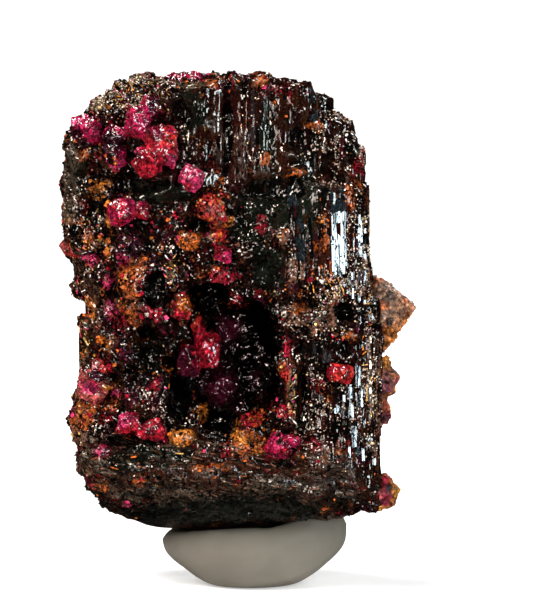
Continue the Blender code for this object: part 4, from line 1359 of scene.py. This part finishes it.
class PAINITE_OT_putty(bpy.types.Operator):
    """Dress the display putty: soft, thumbed and matte"""

    bl_idname = "painite.putty"
    bl_label = "Display putty"
    bl_options = {"REGISTER", "UNDO"}

    def execute(self, context):
        piece = make_piece("putty_lump", node_copy("display_putty"), putty_material())
        remesh(piece, sizes().putty_step)
        every_way = {"use_axis_x": True, "use_axis_y": True, "use_axis_z": True}
        bm = bmesh.new()
        bm.from_mesh(piece.data)
        for _ in range(14):
            bmesh.ops.smooth_vert(bm, verts=bm.verts[:], factor=0.6, **every_way)
        bm.to_mesh(piece.data)
        bm.free()
        points, normals = read_points(piece.data)
        dents = 0.16 * wander(points, 2.6, 4.0) + 0.03 * wander(points, 0.8, 9.0)
        dents *= smooth_step(0.15, 0.8, points[:, 2])
        points = points + normals * dents[:, None]
        right = smooth_step(1.5, 4.5, points[:, 0])
        points[:, 2] += 0.8 * right * smooth_step(0.6, 3.0, points[:, 2])
        points[:, 0] *= 1 - 0.17 * smooth_step(2.8, 0.0, points[:, 2])
        points[:, 2] = np.maximum(points[:, 2], 0.0)
        write_points(piece.data, points)
        hand_over(piece, "putty", "display_putty")
        return {"FINISHED"}


class PAINITE_OT_druse(bpy.types.Operator):
    """Scatter the druse: dark crystals, small rubies and crumbs of rust over the painite"""

    bl_idname = "painite.druse"
    bl_label = "Druse"
    bl_options = {"REGISTER", "UNDO"}

    def execute(self, context):
        places, normals = surface_places(skin_mesh(), sizes().druse_count, 5, druse_weight)
        grown = grown_share(places)
        shade = 0.45 + 0.85 * smooth_step(-0.35, 0.35, ripple(places, 1.5, 2, 33.0))
        shares = spot_shares(places)
        heaps = {"dark": Heap(1), "gem": Heap(2), "rust": Heap(3)}
        dice = random.Random(12)
        middling = sizes().grain / MM
        for index, place in enumerate(places):
            covers = {name: share[index] for name, share in shares.items()}
            if covers["black"] > dice.uniform(0.1, 0.9) or 0.85 * covers["grey"] > dice.random():
                continue
            region = pick_region(dice, grown[index], covers)
            name, colour = pick_tint(DRUSE_MIX[region], dice)
            if region in ("rough", "grown", "brown"):
                colour = colour * shade[index]
            size = near(dice, middling, 0.36) * (1 - 0.35 * grown[index])
            kind = pick_kind(name, region, place[2])
            shape = squat(dice, size * (0.85 if kind == "rust" else 1), 0.65, 1.15)
            heaps[kind].add(place - normals[index] * min(shape) * 0.3, shape, colour)
        ruby = druse_material("druse_ruby", 0.12, 0.2, bend=1.60, gloss=(1.0, 0.74, 0.78))
        rust = druse_material("druse_rust", 0.40, bend=1.38, gloss=(1.0, 0.70, 0.45))
        heaps["dark"].finish("druse_dark", "painite", druse_material("druse_dark", 0.09, bend=1.50))
        heaps["gem"].finish("druse_ruby", "ruby", ruby)
        heaps["rust"].finish("druse_rust", "matrix", rust)
        return {"FINISHED"}


class PAINITE_OT_splinters(bpy.types.Operator):
    """Lay long crystals: upright ones on the grown faces and lying ones round the foot"""

    bl_idname = "painite.splinters"
    bl_label = "Splinters"
    bl_options = {"REGISTER", "UNDO"}

    def execute(self, context):
        tree = skin_tree()
        dice = random.Random(21)
        splinters = Heap(22, long=True)
        fibres = Heap(23, long=True, trims=(0, 1, 2))

        def lay(heap, lot, count, seed, weigh):
            """Lays a lot of long crystals, and leaves out those with an end in the air."""
            half_width, width_spread, power, power_spread, longest, wobble, lift = LONG_LOTS[lot]
            for place, normal in zip(*surface_places(skin_mesh(), count, seed, weigh)):
                width = near(dice, half_width, width_spread)
                long = min(longest, math.exp(dice.gauss(power, power_spread)))
                mix = "under" if lot == "lying" and place[2] < UNDER_TOP else lot
                _, colour = pick_tint(LONG_MIX[mix], dice)
                axes = lying_axes(normal, long_way(lot, place), dice, wobble)
                middle = place + normal * lift
                ends = [middle + axes[2] * width * long * side for side in (-HALF_BLOCK, HALF_BLOCK)]
                if not any(stands_off(tree, end, 0.12) for end in ends):
                    shape = (width, width * 0.8, width * long)
                    heap.add(middle - normal * width * 0.35, shape, colour, axes)

        lay(splinters, "upright", sizes().splinter_count, 8, upright_weight)
        lay(fibres, "lying", sizes().fibre_count, 9, lying_weight)
        lay(splinters, "flank", sizes().fibre_count * 2 // 5, 10, flank_weight)
        lay(splinters, "wire", sizes().wire_count, 11, wire_weight)
        dusty = druse_material("fibres", 0.34, bend=1.42, gloss=(1.0, 0.84, 0.68))
        fibres.finish("fibres", "painite", dusty)
        splinters.finish("splinters", "painite", druse_material("splinters", 0.08, lean=0.15, bend=1.62))
        return {"FINISHED"}


class PAINITE_OT_glitter(bpy.types.Operator):
    """Sprinkle the smallest clear crystals, whose pale specks partly stand in for glints as painted
    highlights, and bed the rubies in grains of stone
    """

    bl_idname = "painite.glitter"
    bl_label = "Glitter"
    bl_options = {"REGISTER", "UNDO"}

    def execute(self, context):
        tree = skin_tree()
        dice = random.Random(41)
        sparks = Heap(42, trims=(0, 1))
        bed = Heap(43)

        def spark(place, normal, size):
            """One clear crystal that stands a little out of the surface. Its pale colour is partly a painted
            glint.
            """
            clear = tint("glitter") * dice.choice(GLITTER_TONES)
            shape = squat(dice, size)
            sparks.add(place + normal * size * 0.2, shape, clear * dice.uniform(0.25, 0.9))

        places, normals = surface_places(skin_mesh(), sizes().glitter_count, 44, glitter_weight)
        shares = spot_shares(places)
        for place, normal, dark in zip(places, normals, shares["black"] + shares["grey"]):
            if dark < dice.uniform(0, 0.6):
                spark(place + normal * 0.05, normal, near(dice, SKIN_SPARK, 0.3))
        for number, node in enumerate(RUBY_LOOKS):
            gem = bpy.data.objects[node + "_gem"].data
            area = sum(face.area for face in gem.polygons) / MM**2
            limit = LOW_BED_HEIGHT if node in LOW_BEDS else BED_HEIGHT
            tries = int(area * BED_TRIES)
            for place, normal in zip(*surface_places(gem, tries, 50 + number, even_weight)):
                if not stands_off(tree, place, limit):
                    _, colour = pick_tint(DRUSE_MIX["rough"], dice)
                    bed.add(place, squat(dice, near(dice, BED_GRAIN, 0.35)), colour)
                elif dice.random() < GEM_SPARK_CHANCE:
                    spark(place, normal, near(dice, GEM_SPARK, 0.3))
        sparks.finish("glitter", "crust", druse_material("glitter", 0.15, gloss=(1.0, 0.92, 0.82)))
        bed.finish("ruby_beds", "painite", druse_material("ruby_beds", 0.14))
        return {"FINISHED"}


def add_sweep():
    """A round floor whose rim curves up into a wall."""
    bm = bmesh.new()
    bmesh.ops.create_circle(bm, segments=96, radius=FLOOR_RADIUS, cap_ends=True)
    edges = bm.edges[:]
    for step in range(CURVE_STEPS):
        angle = math.radians(90 / CURVE_STEPS * (step + 1))
        made = bmesh.ops.extrude_edge_only(bm, edges=edges)["geom"]
        edges = [part for part in made if isinstance(part, bmesh.types.BMEdge)]
        for vert in made:
            if isinstance(vert, bmesh.types.BMVert):
                vert.co.xy = vert.co.xy.normalized() * (FLOOR_RADIUS + CURVE_RADIUS * math.sin(angle))
                vert.co.z = CURVE_RADIUS * (1 - math.cos(angle))
    made = bmesh.ops.extrude_edge_only(bm, edges=edges)["geom"]
    wall = [part for part in made if isinstance(part, bmesh.types.BMVert)]
    bmesh.ops.translate(bm, vec=(0, 0, WALL_HEIGHT), verts=wall)
    bmesh.ops.recalc_face_normals(bm, faces=bm.faces[:])
    bmesh.ops.reverse_faces(bm, faces=bm.faces[:])
    sweep = make_piece("sweep", bm, stage_material())
    sweep.visible_glossy = False
    sweep.visible_transmission = False


def add_to_scene(name, data, place, way):
    """A lamp or a camera at a place in metres, turned to look along a way."""
    made = bpy.data.objects.new(name, data)
    made.location = place
    made.rotation_euler = Vector(way).to_track_quat("-Z", "Y").to_euler()
    bpy.context.scene.collection.objects.link(made)
    return made


def add_lights():
    """The softboxes and the dark studio round them."""
    for name, (place, (wide, high), colour) in LAMPS.items():
        lamp = bpy.data.lights.new(name, "AREA")
        lamp.shape = "RECTANGLE"
        lamp.size = wide
        lamp.size_y = high
        lamp.energy = getattr(light(), name)
        lamp.color = colour
        add_to_scene(name, lamp, place, Vector(LAMP_AIM) - Vector(place))
    world = bpy.data.worlds.new("studio")
    world.use_nodes = True
    world.node_tree.nodes["Background"].inputs["Color"].default_value = STUDIO_DARK
    bpy.context.scene.world = world


def add_camera():
    """The camera, far off with a long lens."""
    camera = bpy.data.cameras.new("view")
    camera.sensor_fit = "VERTICAL"
    camera.sensor_height = 36
    camera.lens = LENS
    camera.clip_start = 0.01
    camera.clip_end = 5
    lift = math.radians(CAMERA_LIFT)
    away = Vector((0, -math.cos(lift), math.sin(lift)))
    place = Vector(CAMERA_AIM) * MM + away * light().distance
    bpy.context.scene.camera = add_to_scene("view", camera, place, -away)
    bpy.context.scene.view_settings.view_transform = "Standard"


class PAINITE_OT_stage(bpy.types.Operator):
    """Set the pale sweep, the studio lights and the camera"""

    bl_idname = "painite.stage"
    bl_label = "Stage"
    bl_options = {"REGISTER", "UNDO"}

    def execute(self, context):
        add_sweep()
        add_lights()
        add_camera()
        return {"FINISHED"}


class PAINITE_PT_panel(bpy.types.Panel):
    """Lists the settings, and the steps that dress the specimen"""

    bl_idname = "PAINITE_PT_panel"
    bl_label = "Painite"
    bl_space_type = "VIEW_3D"
    bl_region_type = "UI"
    bl_category = "Painite"

    def draw(self, context):
        for group in GROUPS:
            box = self.layout.box()
            settings = getattr(context.scene, group)
            for name in settings.__annotations__:
                box.prop(settings, name)
        for operator in STEPS:
            self.layout.operator(operator.bl_idname)


GROUPS = {
    "specimen_colours": SpecimenColours,
    "specimen_sizes": SpecimenSizes,
    "specimen_light": SpecimenLight,
}
STEPS = (
    PAINITE_OT_body,
    PAINITE_OT_prism_faces,
    PAINITE_OT_rubies,
    PAINITE_OT_crust,
    PAINITE_OT_matrix,
    PAINITE_OT_putty,
    PAINITE_OT_druse,
    PAINITE_OT_splinters,
    PAINITE_OT_glitter,
    PAINITE_OT_stage,
)


def register():
    """Adds the settings, the steps and the panel."""
    for name, group in GROUPS.items():
        bpy.utils.register_class(group)
        setattr(bpy.types.Scene, name, PointerProperty(type=group))
    for operator in STEPS:
        bpy.utils.register_class(operator)
    bpy.utils.register_class(PAINITE_PT_panel)


def unregister():
    """Takes them away again."""
    bpy.utils.unregister_class(PAINITE_PT_panel)
    for operator in reversed(STEPS):
        bpy.utils.unregister_class(operator)
    for name, group in reversed(GROUPS.items()):
        delattr(bpy.types.Scene, name)
        bpy.utils.unregister_class(group)


def main():
    """Takes every step in order."""
    register()
    for operator in STEPS:
        family, step = operator.bl_idname.split(".")
        getattr(getattr(bpy.ops, family), step)()
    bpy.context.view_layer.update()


if __name__ == "__main__":
    main()
